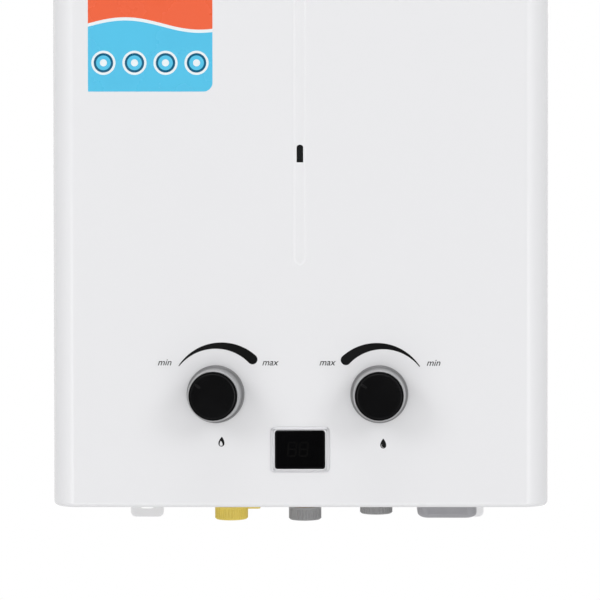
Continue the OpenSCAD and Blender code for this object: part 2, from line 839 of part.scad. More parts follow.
module bottom_plate() {
    t = sheet_t;
    color([0.8, 0.81, 0.82]) from_base() {
        translate([0, 0, floor_low]) linear_extrude(t) bottom_plate_plan();
        for (s = [-1, 1])
            translate([s * (floor_w - t) / 2 - t / 2, edge_r - floor_front, floor_low])
                cube([t, floor_front - edge_r - t, plate_lip]);
        difference() {
            translate([-floor_w / 2, -2 * t, floor_low]) cube([floor_w, t, plate_lip + t]);
            for (x = [-rear_screw_x, 0, rear_screw_x])
                to_front(x, 0, floor_top + plate_lip / 2) cylinder(d = screw_d + 2 * run_gap, h = 4 * t);
        }
    }
}

module case_screws() {
    color([0.75, 0.76, 0.78]) from_base() {
        for (s = [-1, 1])
            translate([s * cover_screw_x, -cover_screw_out, 0]) pan_screw(2 * sheet_t + cover_gap + 4);
        for (x = [-rear_screw_x, 0, rear_screw_x])
            translate([x, -2 * sheet_t, floor_top + plate_lip / 2])
                rotate([-90, 0, 0]) pan_screw(2 * sheet_t);
        for (s = [-1, 1])
            translate([battery_x + s * box_screw_x, -battery_out, floor_low - ear_t])
                pan_screw(ear_t + sheet_t + 4);
    }
}

// Knobs

module knob_skirt() {
    foot_r = knob_foot_d / 2;
    front_r = knob_front_d / 2;
    bevel = 0.4;
    translate([0, 0, knob_gap]) difference() {
        rotate_extrude() polygon([
            [0, 0], [foot_r, 0], [foot_r, knob_rim_h * 0.6], [foot_r - bevel, knob_rim_h],
            [front_r + bevel, knob_h - 2 * bevel], [front_r - bevel, knob_h], [0, knob_h]
        ]);
        translate([0, 0, disc_seat]) cylinder(d = disc_d + 2 * run_gap, h = knob_h);
        difference() {
            translate([0, 0, -eps])
                cylinder(r1 = foot_r - knob_wall, r2 = front_r - knob_wall, h = hub_top + eps);
            cylinder(d = hub_d, h = hub_top);
        }
        translate([0, 0, -eps]) spindle_section(spindle_d + 2 * run_gap, hub_top + eps);
    }
}

// Round bar with a flat towards the top
module spindle_section(d, h) {
    difference() {
        cylinder(d = d, h = h);
        translate([-d, d / 2 - spindle_flat, -1]) cube([2 * d, d, h + 2]);
    }
}

module knob_disc() {
    r = disc_d / 2;
    bevel = 0.7;
    dish = 0.3;
    rim = 2.2;
    translate([0, 0, knob_gap + disc_seat]) {
        rotate_extrude() polygon([
            [0, 0], [r, 0], [r, disc_t - bevel], [r - bevel, disc_t], [r - rim, disc_t],
            [r - rim - dish, disc_t - dish], [0, disc_t - dish]
        ]);
        rotate(pointer_turn) translate([-pointer_w / 2, pointer_r - pointer_l / 2, disc_t - 2 * dish])
            cube([pointer_w, pointer_l, 2 * dish]);
    }
}

// Spindle from a knob's hub to a valve's boss, with its tip a given distance in front of the push rod
module knob_spindle(tip_out) {
    outer = knob_gap + hub_top - 2 * run_gap;
    flat_l = knob_gap + hub_top;
    length = casing_d - rod_out - tip_out;
    translate([0, 0, outer - flat_l]) spindle_section(spindle_d, flat_l);
    translate([0, 0, -length]) cylinder(d = spindle_d, h = length + outer - flat_l);
}

module gas_knob_skirt() {
    color([0.62, 0.62, 0.63]) from_base() to_front(-gas_knob_x, front_y, knob_z) knob_skirt();
}

module gas_knob_disc() {
    color([0.05, 0.05, 0.05]) from_base() to_front(-gas_knob_x, front_y, knob_z) knob_disc();
}

module gas_spindle() {
    color([0.8, 0.66, 0.35]) from_base()
        to_front(-gas_knob_x, front_y, knob_z) knob_spindle(chamber_d / 2 - 2);
}

module water_knob_skirt() {
    color([0.62, 0.62, 0.63]) from_base() to_front(water_knob_x, front_y, knob_z) knob_skirt();
}

module water_knob_disc() {
    color([0.05, 0.05, 0.05]) from_base() to_front(water_knob_x, front_y, knob_z) knob_disc();
}

module water_spindle() {
    color([0.8, 0.66, 0.35]) from_base()
        to_front(water_knob_x, front_y, knob_z) knob_spindle(chamber_d / 2 - 2);
}

// Display

module display_bezel() {
    slope = 0.8;
    color([0.85, 0.86, 0.88]) from_base() to_front(0, front_y, display_z) difference() {
        union() {
            linear_extrude(bezel_rise - slope) rounded_rect(bezel_w, bezel_h, bezel_r);
            translate([0, 0, bezel_rise - slope]) linear_extrude(slope)
                rounded_rect(bezel_w - 2 * slope, bezel_h - 2 * slope, bezel_r - slope / 2);
            translate([0, 0, -neck_depth]) linear_extrude(neck_depth) square([neck_w, neck_h], center = true);
        }
        translate([0, 0, -neck_depth - 1]) linear_extrude(neck_depth + bezel_rise + 2)
            square([window_w, window_h], center = true);
    }
}

module display_window() {
    color([0.03, 0.03, 0.03]) from_base()
        to_front(0, front_y, display_z) translate([0, 0, bezel_rise - window_drop - window_t])
            linear_extrude(window_t)
                square([window_w - 2 * seat_gap, window_h - 2 * seat_gap], center = true);
}

module display_board() {
    digits_w = window_w * 0.72;
    digits_h = window_h * 0.68;
    digits_top = bezel_rise - window_drop - window_t - seat_gap;
    color([0.1, 0.35, 0.2]) from_base() to_front(0, front_y, display_z) {
        translate([0, 0, -neck_depth - board_t]) linear_extrude(board_t)
            square([neck_w + 6, neck_h + 4], center = true);
        translate([0, 0, -neck_depth]) linear_extrude(neck_depth + digits_top)
            square([digits_w, digits_h], center = true);
    }
}

// Connections and their transit caps

module nipple(x, out, end_z, top_z) {
    chamfer = 1;
    translate([x, -out, 0]) difference() {
        union() {
            translate([0, 0, end_z]) cylinder(d1 = thread_d - 2 * chamfer, d2 = thread_d, h = chamfer);
            translate([0, 0, end_z + chamfer])
                cylinder(d = thread_d, h = floor_low - hex_h - end_z - chamfer);
            translate([0, 0, floor_low - hex_h]) cylinder(d = hex_af / cos(30), h = hex_h, $fn = 6);
            translate([0, 0, floor_low]) cylinder(d = neck_d, h = top_z - floor_low);
        }
        translate([0, 0, end_z - 1]) cylinder(d = thread_bore, h = top_z - end_z + 2);
    }
}

module gas_nipple() {
    color([0.82, 0.68, 0.36]) from_base() nipple(-pipe_x, gas_out, gas_end, nipple_top);
}

module hot_nipple() {
    color([0.82, 0.68, 0.36]) from_base() nipple(0, water_out, hot_end, nipple_top);
}

module cold_nipple() {
    color([0.82, 0.68, 0.36]) from_base() nipple(pipe_x, water_out, cold_end, nipple_top);
}

module lock_nuts() {
    places = [[-pipe_x, -gas_out], [0, -water_out], [pipe_x, -water_out]];
    color([0.82, 0.68, 0.36]) from_base() for (p = places)
        translate([p.x, p.y, floor_top]) difference() {
            cylinder(d = hex_af / cos(30), h = nut_h, $fn = 6);
            translate([0, 0, -1]) cylinder(d = neck_d + 2 * run_gap, h = nut_h + 2);
        }
}

// Ribbed plastic cap over a thread; the pull tab points along the given direction
module transit_cap(x, out, end_z, tab_turn) {
    cap_bevel = 1.4;
    inner_r = thread_r + cap_gap;
    wall_r = inner_r + cap_wall;
    low = end_z - cap_seat - cap_floor;
    step = 360 / cap_ribs;
    ribs = [for (i = [0 : cap_ribs - 1], k = [0 : 3])
        (k < 2 ? wall_r : wall_r + rib_h) * [cos((i + k / 4) * step), sin((i + k / 4) * step)]];
    translate([x, -out, low]) difference() {
        union() {
            cylinder(r1 = wall_r - cap_bevel, r2 = wall_r - cap_bevel / 4, h = cap_bevel);
            translate([0, 0, cap_bevel]) linear_extrude(cap_len - cap_bevel - cap_tab_t) polygon(ribs);
            translate([0, 0, cap_len - cap_tab_t]) {
                cylinder(r = wall_r + 1.5 * rib_h, h = cap_tab_t);
                rotate(tab_turn) translate([wall_r - 0.5, -cap_tab_w / 2, 0])
                    cube([cap_tab_l, cap_tab_w, cap_tab_t]);
            }
        }
        translate([0, 0, cap_floor]) cylinder(r = inner_r, h = cap_len);
    }
}

module gas_cap() {
    color([0.85, 0.76, 0.38]) from_base() transit_cap(-pipe_x, gas_out, gas_end, 0);
}

module hot_cap() {
    color([0.53, 0.54, 0.56]) from_base() transit_cap(0, water_out, hot_end, 90);
}

module cold_cap() {
    color([0.53, 0.54, 0.56]) from_base() transit_cap(pipe_x, water_out, cold_end, 90);
}

// Battery box

module battery_box() {
    ear_reach = box_screw_x + ear_w / 2;
    flange_reach = lid_l / 2 + lid_gap + knuckle_d;
    color([0.62, 0.62, 0.64]) from_base() translate([battery_x, -battery_out, 0]) difference() {
        union() {
            translate([0, 0, flange_low]) linear_extrude(box_flange_t) rounded_rect(lid_w, lid_l, 2);
            translate([0, 0, floor_low - ear_t]) linear_extrude(ear_t) rounded_rect(2 * ear_reach, ear_w, 2);
            for (s = [-1, 1])
                translate([s * (lid_w - knuckle_l) / 2 - knuckle_l / 2, 0, flange_low])
                    cube([knuckle_l, flange_reach, box_flange_t]);
            translate([0, 0, flange_low]) linear_extrude(box_top + box_wall - flange_low)
                square([box_out_w, box_out_l], center = true);
            for (s = [-1, 1])
                translate([s * (lid_w / 2 - knuckle_l / 2) - knuckle_l / 2, hinge_y + battery_out, 0])
                    hinge_knuckle();
        }
        translate([0, 0, flange_low - 1]) linear_extrude(box_top - flange_low + 1)
            square([box_in_w, box_in_l], center = true);
        for (s = [-1, 1])
            translate([s * box_screw_x, 0, flange_low])
                cylinder(d = screw_d + 2 * run_gap, h = 2 * box_flange_t);
        along_x(-lid_w, hinge_y + battery_out, hinge_z)
            cylinder(d = hinge_pin_d + 2 * run_gap, h = 2 * lid_w);
    }
}

// Knuckle hanging from the flange round the hinge axis, starting at x = 0
module hinge_knuckle() {
    along_x(0, 0, hinge_z) cylinder(d = knuckle_d, h = knuckle_l);
    translate([0, -knuckle_d / 2, hinge_z]) cube([knuckle_l, knuckle_d, flange_low - hinge_z]);
}

module hinge_pin() {
    color([0.75, 0.76, 0.78]) from_base()
        along_x(battery_x - lid_w / 2, hinge_y, hinge_z) cylinder(d = hinge_pin_d, h = lid_w);
}

// Shallow dish with rounded lower edges
module lid_block(w, l, h, r) {
    intersection() {
        translate([0, l / 2, 0]) rotate([90, 0, 0]) linear_extrude(l) lid_outline(w, h, r);
        translate([-w / 2, 0, 0]) rotate([90, 0, 90]) linear_extrude(w) lid_outline(l, h, r);
    }
}

module lid_outline(w, h, r) {
    translate([-w / 2, r]) square([w, h - r]);
    translate([r - w / 2, 0]) square([w - 2 * r, 2 * r]);
    for (s = [-1, 1])
        translate([s * (w / 2 - r), r]) circle(r);
}

module battery_lid() {
    reach = lid_w - 2 * (knuckle_l + lid_gap);
    grips = 5;
    grip_pitch = 3.2;
    color([0.6, 0.6, 0.62]) from_base() difference() {
        union() {
            translate([battery_x, -battery_out, lid_low]) difference() {
                lid_block(lid_w, lid_l, lid_h, lid_r);
                translate([0, 0, lid_wall])
                    lid_block(lid_w - 2 * lid_wall, lid_l - 2 * lid_wall, lid_h, lid_r - lid_wall);
            }
            along_x(battery_x - reach / 2, hinge_y, hinge_z) cylinder(d = knuckle_d, h = reach);
            translate([battery_x - reach / 2, -battery_out + lid_l / 2 - lid_wall, hinge_z - knuckle_d / 2])
                cube([reach, lid_wall + lid_gap + knuckle_d / 2, lid_wall]);
        }
        along_x(battery_x - lid_w, hinge_y, hinge_z) cylinder(d = hinge_pin_d + 2 * run_gap, h = 2 * lid_w);
        for (i = [0 : grips - 1])
            translate([battery_x - lid_w / 4, -battery_out - lid_l / 2 + 10 + i * grip_pitch, lid_low - 1])
                cube([lid_w / 2, 1.4, 1.6]);
    }
}

// Strip in the lid that joins the two cells, with a dome under each
module lid_contact() {
    low = lid_low + lid_wall;
    rise = cell_low - low - seat_gap;
    color([0.8, 0.81, 0.82]) from_base() translate([battery_x, -battery_out, low]) {
        linear_extrude(contact_t) rounded_rect(stud_d + 2, 2 * cell_step + stud_d, 2);
        for (s = [-1, 1])
            translate([0, s * cell_step, 0]) cylinder(d1 = stud_d, d2 = stud_d / 2, h = rise);
    }
}

module cell(up) {
    nub_z = up ? cell_l : 0;
    body_z = up ? 0 : stud_h;
    translate([0, 0, cell_low]) {
        translate([0, 0, body_z]) cylinder(d = cell_d, h = cell_l);
        translate([0, 0, nub_z]) cylinder(d = stud_d, h = stud_h);
    }
}

module batteries() {
    color([0.3, 0.32, 0.36]) from_base() translate([battery_x, -battery_out, 0]) {
        translate([0, -cell_step, 0]) cell(true);
        translate([0, cell_step, 0]) cell(false);
    }
}

module battery_contacts() {
    color([0.8, 0.81, 0.82]) from_base() for (s = [-1, 1])
        translate([battery_x, -battery_out + s * cell_step, box_top - contact_t]) linear_extrude(contact_t)
            rounded_rect(cell_d * 0.6, cell_d * 0.6, 2);
}

// Gas valve

module gas_valve_body() {
    end_t = 4;
    end_side = gas_valve_d + 2;
    end_r = 6;
    inlet_d = thread_bore - 3;
    inlet_stop = 8;
    color([0.72, 0.73, 0.74]) from_base() difference() {
        union() {
            along_x(gas_left, -rod_out, knob_z) cylinder(d = gas_valve_d, h = gas_valve_l);
            along_x(gas_left, -rod_out, knob_z) linear_extrude(end_t) rounded_rect(end_side, end_side, end_r);
            translate([-pipe_x, -gas_out, nipple_top]) cylinder(d = boss_d, h = knob_z - nipple_top);
            to_front(-gas_knob_x, -rod_out, knob_z) cylinder(d = boss_d, h = boss_reach);
            translate([outlet_x, -rod_out, knob_z]) cylinder(d = boss_d - 6, h = outlet_rise);
        }
        along_x(gas_left - 1, -rod_out, knob_z) cylinder(d = chamber_d, h = seat_left - gas_left + 1);
        along_x(seat_left - 1, -rod_out, knob_z) cylinder(d = seat_d, h = seat_t + 2);
        along_x(seat_right, -rod_out, knob_z) cylinder(d = seat_d + 6, h = seat_in - 4);
        along_x(seat_right, -rod_out, knob_z) cylinder(d = rod_d + 2 * run_gap, h = seat_in + 1);
        translate([-pipe_x, -gas_out, nipple_top - 1])
            cylinder(d = inlet_d, h = knob_z - nipple_top - inlet_stop);
        to_front(-gas_knob_x, -rod_out - seat_d / 2, knob_z)
            cylinder(d = spindle_d + 2 * run_gap, h = boss_reach);
        translate([outlet_x, -rod_out, knob_z + seat_d / 2]) cylinder(d = pipe_d - 6, h = outlet_rise);
    }
}

module gas_valve_disc() {
    color([0.12, 0.12, 0.13]) from_base() along_x(disc_left, -rod_out, knob_z) {
        cylinder(d = gas_disc_d - 4, h = 1);
        translate([0, 0, 1]) cylinder(d = gas_disc_d, h = gas_disc_t - 1);
    }
}

// Compression spring swept round the push rod's axis as one tube
sides = 6;
rings_per_turn = 12;

function coil_point(i, k) =
    let (
        turn = 360 * i / rings_per_turn,
        lift = wire_d / 2 + (spring_l - wire_d) * i / (coil_turns * rings_per_turn),
        side = 360 * k / sides,
        r = coil_d / 2 + wire_d / 2 * cos(side)
    ) [r * cos(turn), r * sin(turn), lift + wire_d / 2 * sin(side)];

module gas_valve_spring() {
    rings = coil_turns * rings_per_turn + 1;
    points = [for (i = [0 : rings - 1], k = [0 : sides - 1]) coil_point(i, k)];
    skin = [for (i = [0 : rings - 2], k = [0 : sides - 1])
        let (n = (k + 1) % sides, a = i * sides + k, b = i * sides + n)
        each [[a, b, a + sides], [b, b + sides, a + sides]]];
    first = [for (k = [1 : sides - 2]) [0, k + 1, k]];
    end = (rings - 1) * sides;
    last = [for (k = [1 : sides - 2]) [end, end + k, end + k + 1]];
    color([0.75, 0.76, 0.78]) from_base() along_x(gas_left + seat_gap, -rod_out, knob_z)
        polyhedron(points, concat(skin, first, last));
}

module solenoid() {
    plate_t = 3;
    color([0.3, 0.3, 0.32]) from_base() {
        along_x(gas_left - plate_t, -rod_out, knob_z) linear_extrude(plate_t)
            rounded_rect(gas_valve_d + 2, gas_valve_d + 2, 6);
        along_x(gas_left - plate_t - solenoid_l, -rod_out, knob_z) cylinder(d = solenoid_d, h = solenoid_l);
        along_x(gas_left - plate_t - solenoid_l - 3, -rod_out, knob_z) cylinder(d = solenoid_d * 0.6, h = 3);
    }
}

module gas_pipe() {
    color([0.74, 0.75, 0.76]) from_base() pipe_run(gas_route, bend_r, pipe_d - 2, pipe_d - 2 - 2 * pipe_wall);
}

// Water valve

module housing_screw_ring() {
    for (i = [0 : housing_screws_n - 1])
        rotate((i + 0.5) * 360 / housing_screws_n) translate([screw_ring_r, 0, 0]) children();
}

module water_valve_cover() {
    color([0.72, 0.73, 0.74]) from_base() difference() {
        union() {
            along_x(housing_x, -rod_out, knob_z) cylinder(d = housing_d, h = housing_cover_l);
            along_x(housing_x - 6, -rod_out, knob_z) cylinder(d = rod_d + 6, h = 6);
        }
        along_x(housing_x + 3, -rod_out, knob_z) cylinder(d = diaphragm_bore, h = housing_cover_l);
        along_x(housing_x - 7, -rod_out, knob_z) cylinder(d = rod_d + 2 * run_gap, h = housing_cover_l);
        along_x(housing_x - 1, -rod_out, knob_z) housing_screw_ring()
            cylinder(d = screw_d + 2 * run_gap, h = housing_cover_l + 2);
    }
}

module diaphragm() {
    color([0.1, 0.1, 0.1]) from_base() along_x(diaphragm_left, -rod_out, knob_z) difference() {
        cylinder(d = housing_d, h = diaphragm_t);
        translate([0, 0, -1]) housing_screw_ring() cylinder(d = screw_d + 2 * run_gap, h = diaphragm_t + 2);
    }
}

module water_valve_body() {
    color([0.72, 0.73, 0.74]) from_base() difference() {
        union() {
            along_x(diaphragm_right, -rod_out, knob_z) cylinder(d = housing_d, h = housing_body_l);
            along_x(barrel_left, -rod_out, knob_z) cylinder(d = barrel_d, h = barrel_l);
            translate([pipe_x, -water_out, nipple_top])
                cylinder(d = boss_d + 2, h = knob_z + barrel_d / 4 - nipple_top);
            to_front(water_knob_x, -rod_out, knob_z) cylinder(d = boss_d, h = boss_reach);
            translate([water_knob_x, -rod_out, knob_z]) cylinder(d = boss_d, h = outlet_rise);
        }
        along_x(diaphragm_right - 1, -rod_out, knob_z) cylinder(d = diaphragm_bore, h = housing_body_l - 3);
        along_x(diaphragm_right - 1, -rod_out, knob_z) housing_screw_ring()
            cylinder(d = screw_d + 2 * run_gap, h = housing_body_l - 2);
        translate([pipe_x, -water_out, nipple_top - 1]) cylinder(d = thread_bore, h = knob_z - nipple_top);
        to_front(water_knob_x, -rod_out - seat_d / 2, knob_z)
            cylinder(d = spindle_d + 2 * run_gap, h = boss_reach);
        translate([water_knob_x, -rod_out, knob_z + seat_d / 2])
            cylinder(d = pipe_d - 2 * pipe_wall, h = outlet_rise);
    }
}

module push_rod() {
    rod_left = disc_right + seat_gap;
    color([0.78, 0.79, 0.8]) from_base() {
        along_x(rod_left, -rod_out, knob_z) cylinder(d = rod_d, h = rod_plate_right - rod_left);
        along_x(rod_plate_right - rod_plate_t, -rod_out, knob_z) cylinder(d = rod_plate_d, h = rod_plate_t);
        along_x(collar_right - collar_plate_t, -rod_out, knob_z)
            cylinder(d = collar_plate_d, h = collar_plate_t);
    }
}

module housing_screws() {
    length = housing_cover_l + diaphragm_t + housing_body_l - 4;
    color([0.75, 0.76, 0.78]) from_base()
        along_x(housing_x, -rod_out, knob_z) housing_screw_ring() pan_screw(length);
}

module microswitch() {
    color([0.15, 0.15, 0.16]) from_base() difference() {
        union() {
            translate([switch_left, -rod_out - switch_w / 2, switch_z]) cube([switch_l, switch_w, switch_h]);
            translate([switch_right - eps, -rod_out - switch_w, switch_z])
                cube([housing_x - switch_right + eps, 2 * switch_w, switch_h]);
        }
        along_x(switch_left - 1, -rod_out, button_z)
            cylinder(d = button_d + 2 * run_gap, h = switch_l / 2 + 1);
    }
}

module switch_button() {
    tip = collar_right + cap_seat;
    color([0.75, 0.1, 0.08]) from_base()
        along_x(tip, -rod_out, button_z)
            cylinder(d = button_d, h = switch_left + switch_l / 2 - tip - seat_gap);
}

// Burner

module along_strips() {
    for (i = [0 : strip_count - 1])
        translate([(i - (strip_count - 1) / 2) * strip_pitch, 0, 0]) children();
}

module gas_manifold() {
    wall = 1.2;
    color([0.74, 0.75, 0.76]) from_base() difference() {
        translate([-manifold_l / 2, -manifold_out - manifold_w / 2, tube_z - manifold_w / 2])
            cube([manifold_l, manifold_w, manifold_w]);
        translate([wall - manifold_l / 2, wall - manifold_out - manifold_w / 2, tube_z - manifold_w / 2 + wall])
            cube([manifold_l - 2 * wall, manifold_w - 2 * wall, manifold_w - 2 * wall]);
        translate([outlet_x, -manifold_out, tube_z - manifold_w]) cylinder(d = pipe_d - 6, h = manifold_w);
        along_strips() to_front(0, -manifold_out + manifold_w, tube_z)
            cylinder(d = nozzle_d / 2, h = manifold_w);
    }
}

module gas_nozzles() {
    nozzle_l = nozzle_reach - 0.5;
    color([0.82, 0.68, 0.36]) from_base() along_strips()
        translate([0, -manifold_out + manifold_w / 2, tube_z]) rotate([-90, 0, 0]) difference() {
            union() {
                cylinder(d = nozzle_d / cos(30), h = nozzle_l / 2, $fn = 6);
                cylinder(d1 = nozzle_d, d2 = nozzle_d / 2, h = nozzle_l);
            }
            translate([0, 0, -1]) cylinder(d = 1, h = nozzle_l + 2);
        }
}

// One burner strip: slotted head, neck and mixing tube with a flared mouth
module burner_strip() {
    neck_inset = 8;
    mouth_l = 4;
    neck_l = strip_l - 2 * neck_inset;
    tube_l = mouth_out - jacket_out + neck_l / 2 - mouth_l;
    slot_step = (strip_l - 8) / flame_slots;
    difference() {
        union() {
            to_front(0, -jacket_out + strip_l / 2, strip_top - strip_head_h / 2) linear_extrude(strip_l)
                rounded_rect(strip_w, strip_head_h, 2.5);
            translate([-strip_neck_w / 2, -jacket_out - neck_l / 2, tube_z])
                cube([strip_neck_w, neck_l, strip_low - tube_z + 1]);
            translate([0, -mouth_out + mouth_l, tube_z]) rotate([-90, 0, 0])
                cylinder(d = strip_tube_d, h = tube_l);
            translate([0, -mouth_out, tube_z]) rotate([-90, 0, 0])
                cylinder(d1 = strip_tube_d + 3, d2 = strip_tube_d, h = mouth_l);
        }
        translate([0, -mouth_out - 1, tube_z]) rotate([-90, 0, 0])
            cylinder(d = strip_tube_d - 2, h = jacket_dp / 2);
        for (i = [0 : flame_slots - 1])
            translate([0, -jacket_out + (i - (flame_slots - 1) / 2) * slot_step, strip_top - 4])
                translate([-strip_w / 4, -flame_slot_w / 2, 0]) cube([strip_w / 2, flame_slot_w, 5]);
    }
}

module burner_strips() {
    color([0.66, 0.64, 0.62]) from_base() along_strips() burner_strip();
}

module burner_frame() {
    ledge = 7;
    inner_dp = jacket_dp - 2 * jacket_t;
    color([0.7, 0.7, 0.7]) from_base() translate([0, -jacket_out, 0]) {
        difference() {
            translate([0, 0, frame_low]) linear_extrude(frame_h) rounded_rect(jacket_w, jacket_dp, jacket_r);
            translate([0, 0, frame_low - 1]) linear_extrude(frame_h + 2)
                rounded_rect(jacket_w - 2 * jacket_t, inner_dp, jacket_r - jacket_t);
            for (s = [-1, 1])
                to_front(s * electrode_x, 0, electrode_z)
                    cylinder(d = ceramic_d + 2 * run_gap, h = jacket_dp);
        }
        for (s = [-1, 1])
            translate([0, s * (inner_dp - ledge) / 2, strip_low - seat_gap - jacket_t / 2])
                cube([jacket_w - 2 * jacket_r, ledge, jacket_t], center = true);
    }
}

// Rod electrode through the burner frame's front, with its clip outside
module electrode(x) {
    front = -jacket_out - jacket_dp / 2;
    clip_t = 1;
    outside = 12;
    inside = 8;
    wire_d = 1.6;
    wire_l = 14;
    pin_d = 2.4;
    pin_l = 4;
    translate([x, front, electrode_z]) rotate([-90, 0, 0]) {
        translate([0, 0, -outside]) cylinder(d = ceramic_d, h = outside + inside);
        translate([0, 0, inside]) cylinder(d = wire_d, h = wire_l);
        translate([0, 0, -clip_t - seat_gap]) linear_extrude(clip_t)
            rounded_rect(ceramic_d + 8, ceramic_d + 3, 2);
        translate([0, 0, -outside - pin_l]) cylinder(d = pin_d, h = pin_l);
    }
}

module spark_electrode() {
    color([0.9, 0.88, 0.84]) from_base() electrode(-electrode_x);
}

module flame_sensor() {
    color([0.9, 0.88, 0.84]) from_base() electrode(electrode_x);
}

// Heat exchanger

module at_tubes() {
    for (i = [0 : tubes - 1])
        translate([0, -jacket_out + (i - (tubes - 1) / 2) * tube_pitch, tubes_z]) children();
}

module combustion_jacket() {
    color([0.72, 0.43, 0.27]) from_base() difference() {
        translate([0, -jacket_out, jacket_low]) linear_extrude(jacket_h) difference() {
            rounded_rect(jacket_w, jacket_dp, jacket_r);
            rounded_rect(jacket_w - 2 * jacket_t, jacket_dp - 2 * jacket_t, jacket_r - jacket_t);
        }
        at_tubes() along_x(-jacket_w, 0, 0) cylinder(d = tube_d + 2 * tube_gap, h = 2 * jacket_w);
        to_front(0, -jacket_out, sight_z) linear_extrude(jacket_dp) translate([-sight_w, 0])
            square([2 * sight_w, sight_h]);
    }
}

module fin_pack() {
    step = fin_span / (fin_count - 1);
    color([0.74, 0.45, 0.29]) from_base() for (i = [0 : fin_count - 1])
        translate([i * step - fin_span / 2 - fin_t / 2, -jacket_out, tubes_z]) rotate([90, 0, 90])
            linear_extrude(fin_t) difference() {
                square([jacket_dp - 2 * jacket_t - 2 * seat_gap, fin_h], center = true);
                for (k = [0 : tubes - 1])
                    translate([(k - (tubes - 1) / 2) * tube_pitch, 0]) circle(d = tube_d + 2 * tube_gap);
            }
}

// Return bend between two neighbouring tubes, at the end on the given side
module return_bend(side, k) {
    y = -jacket_out + (k + 0.5 - (tubes - 1) / 2) * tube_pitch;
    translate([side * tube_end, y, tubes_z]) rotate(side > 0 ? -90 : 90)
        rotate_extrude(angle = 180) translate([tube_pitch / 2, 0]) ring(tube_d, tube_d - 2 * pipe_wall);
}

module exchanger_tubes() {
    color([0.74, 0.45, 0.29]) from_base() {
        at_tubes() along_x(-tube_end, 0, 0) linear_extrude(2 * tube_end) ring(tube_d, tube_d - 2 * pipe_wall);
        for (k = [0 : 2 : tubes - 2])
            return_bend(1, k);
        for (k = [1 : 2 : tubes - 2])
            return_bend(-1, k);
    }
}

module cold_pipe() {
    color([0.72, 0.43, 0.27]) from_base() pipe_run(cold_route, bend_r, pipe_d, pipe_d - 2 * pipe_wall);
}

module hot_pipe() {
    color([0.72, 0.43, 0.27]) from_base() pipe_run(hot_route, bend_r, pipe_d, pipe_d - 2 * pipe_wall);
}

module disc_thermostat() {
    cylinder(d = thermostat_d, h = thermostat_h);
    translate([0, 0, thermostat_h]) cylinder(d = thermostat_d * 0.7, h = 2);
    for (s = [-1, 1])
        translate([s * thermostat_d / 4 - 2, -0.4, thermostat_h + 2]) cube([4, 0.8, 5]);
}

module overheat_thermostat() {
    color([0.2, 0.2, 0.2]) from_base()
        along_x(jacket_w / 2, -jacket_out - jacket_dp / 4, coil_z + coil_rise) disc_thermostat();
}

module outlet_sensor() {
    above_nipple = 30;
    color([0.82, 0.68, 0.36]) from_base()
        translate([0, -water_out + pipe_r, nipple_top + above_nipple]) rotate([-90, 0, 0])
            cylinder(d = sensor_d, h = sensor_l);
}

// Flue

module hood_profile(shrink) {
    polygon([
        [-hood_w / 2 + shrink, jacket_top + shrink], [hood_w / 2 - shrink, jacket_top + shrink],
        [hood_top_w / 2 - shrink, hood_top - shrink], [-hood_top_w / 2 + shrink, hood_top - shrink]
    ]);
}

module draught_hood() {
    wall = collar_t;
    color([0.78, 0.79, 0.8]) from_base() difference() {
        to_front(0, -jacket_out + hood_dp / 2, 0) linear_extrude(hood_dp) hood_profile(0);
        to_front(0, -jacket_out + hood_dp / 2 - wall, 0)
            linear_extrude(hood_dp - 2 * wall) hood_profile(wall);
        translate([0, -jacket_out, jacket_top - 1]) linear_extrude(3 * wall + 1)
            rounded_rect(jacket_w - 2 * jacket_t, jacket_dp - 2 * jacket_t, jacket_r - jacket_t);
        translate([0, -jacket_out, hood_top - 3 * wall]) cylinder(d = collar_d, h = 6 * wall);
        to_front(0, 0, jacket_top + hood_h / 2) linear_extrude(jacket_out)
            square([break_w, break_h], center = true);
    }
}

module flue_collar() {
    color([0.8, 0.81, 0.82]) from_base() translate([0, -jacket_out, 0]) {
        translate([0, 0, hood_top])
            linear_extrude(collar_top - hood_top) ring(collar_d, collar_d - 2 * collar_t);
        translate([0, 0, hood_top]) linear_extrude(collar_t) ring(collar_d + 5, collar_d - 2 * collar_t);
    }
}

module draught_sensor() {
    inset = thermostat_d / 2 + 4;
    color([0.2, 0.2, 0.2]) from_base()
        translate([hood_top_w / 2 - inset, -jacket_out - hood_dp / 2 + inset, hood_top]) disc_thermostat();
}

module ignition_controller() {
    left = plate_w / 2 - sheet_t - controller_w - 4;
    ear_t = 2;
    ears_h = controller_h + 16;
    corner = 3;
    socket_t = 5;
    color([0.85, 0.85, 0.83]) from_base() {
        to_front(-left - controller_w / 2, -sheet_t, controller_z + controller_h / 2) {
            linear_extrude(controller_dp) rounded_rect(controller_w, controller_h, corner);
            linear_extrude(ear_t) rounded_rect(controller_w, ears_h, corner);
            for (i = [-1 : 1])
                translate([0, i * controller_h / 4, 0]) linear_extrude(controller_dp + socket_t)
                    square([controller_w / 2, controller_h / 6], center = true);
        }
    }
}

front_cover();
sight_glass();
back_plate();
bottom_plate();
case_screws();
gas_knob_skirt();
gas_knob_disc();
gas_spindle();
water_knob_skirt();
water_knob_disc();
water_spindle();
display_bezel();
display_window();
display_board();
gas_nipple();
hot_nipple();
cold_nipple();
lock_nuts();
gas_cap();
hot_cap();
cold_cap();
battery_box();
battery_lid();
lid_contact();
hinge_pin();
batteries();
battery_contacts();
gas_valve_body();
gas_valve_disc();
gas_valve_spring();
solenoid();
gas_pipe();
water_valve_body();
water_valve_cover();
diaphragm();
push_rod();
housing_screws();
microswitch();
switch_button();
gas_manifold();
gas_nozzles();
burner_strips();
burner_frame();
spark_electrode();
flame_sensor();
combustion_jacket();
fin_pack();
exchanger_tubes();
cold_pipe();
hot_pipe();
overheat_thermostat();
outlet_sensor();
draught_hood();
flue_collar();
draught_sensor();
ignition_controller();
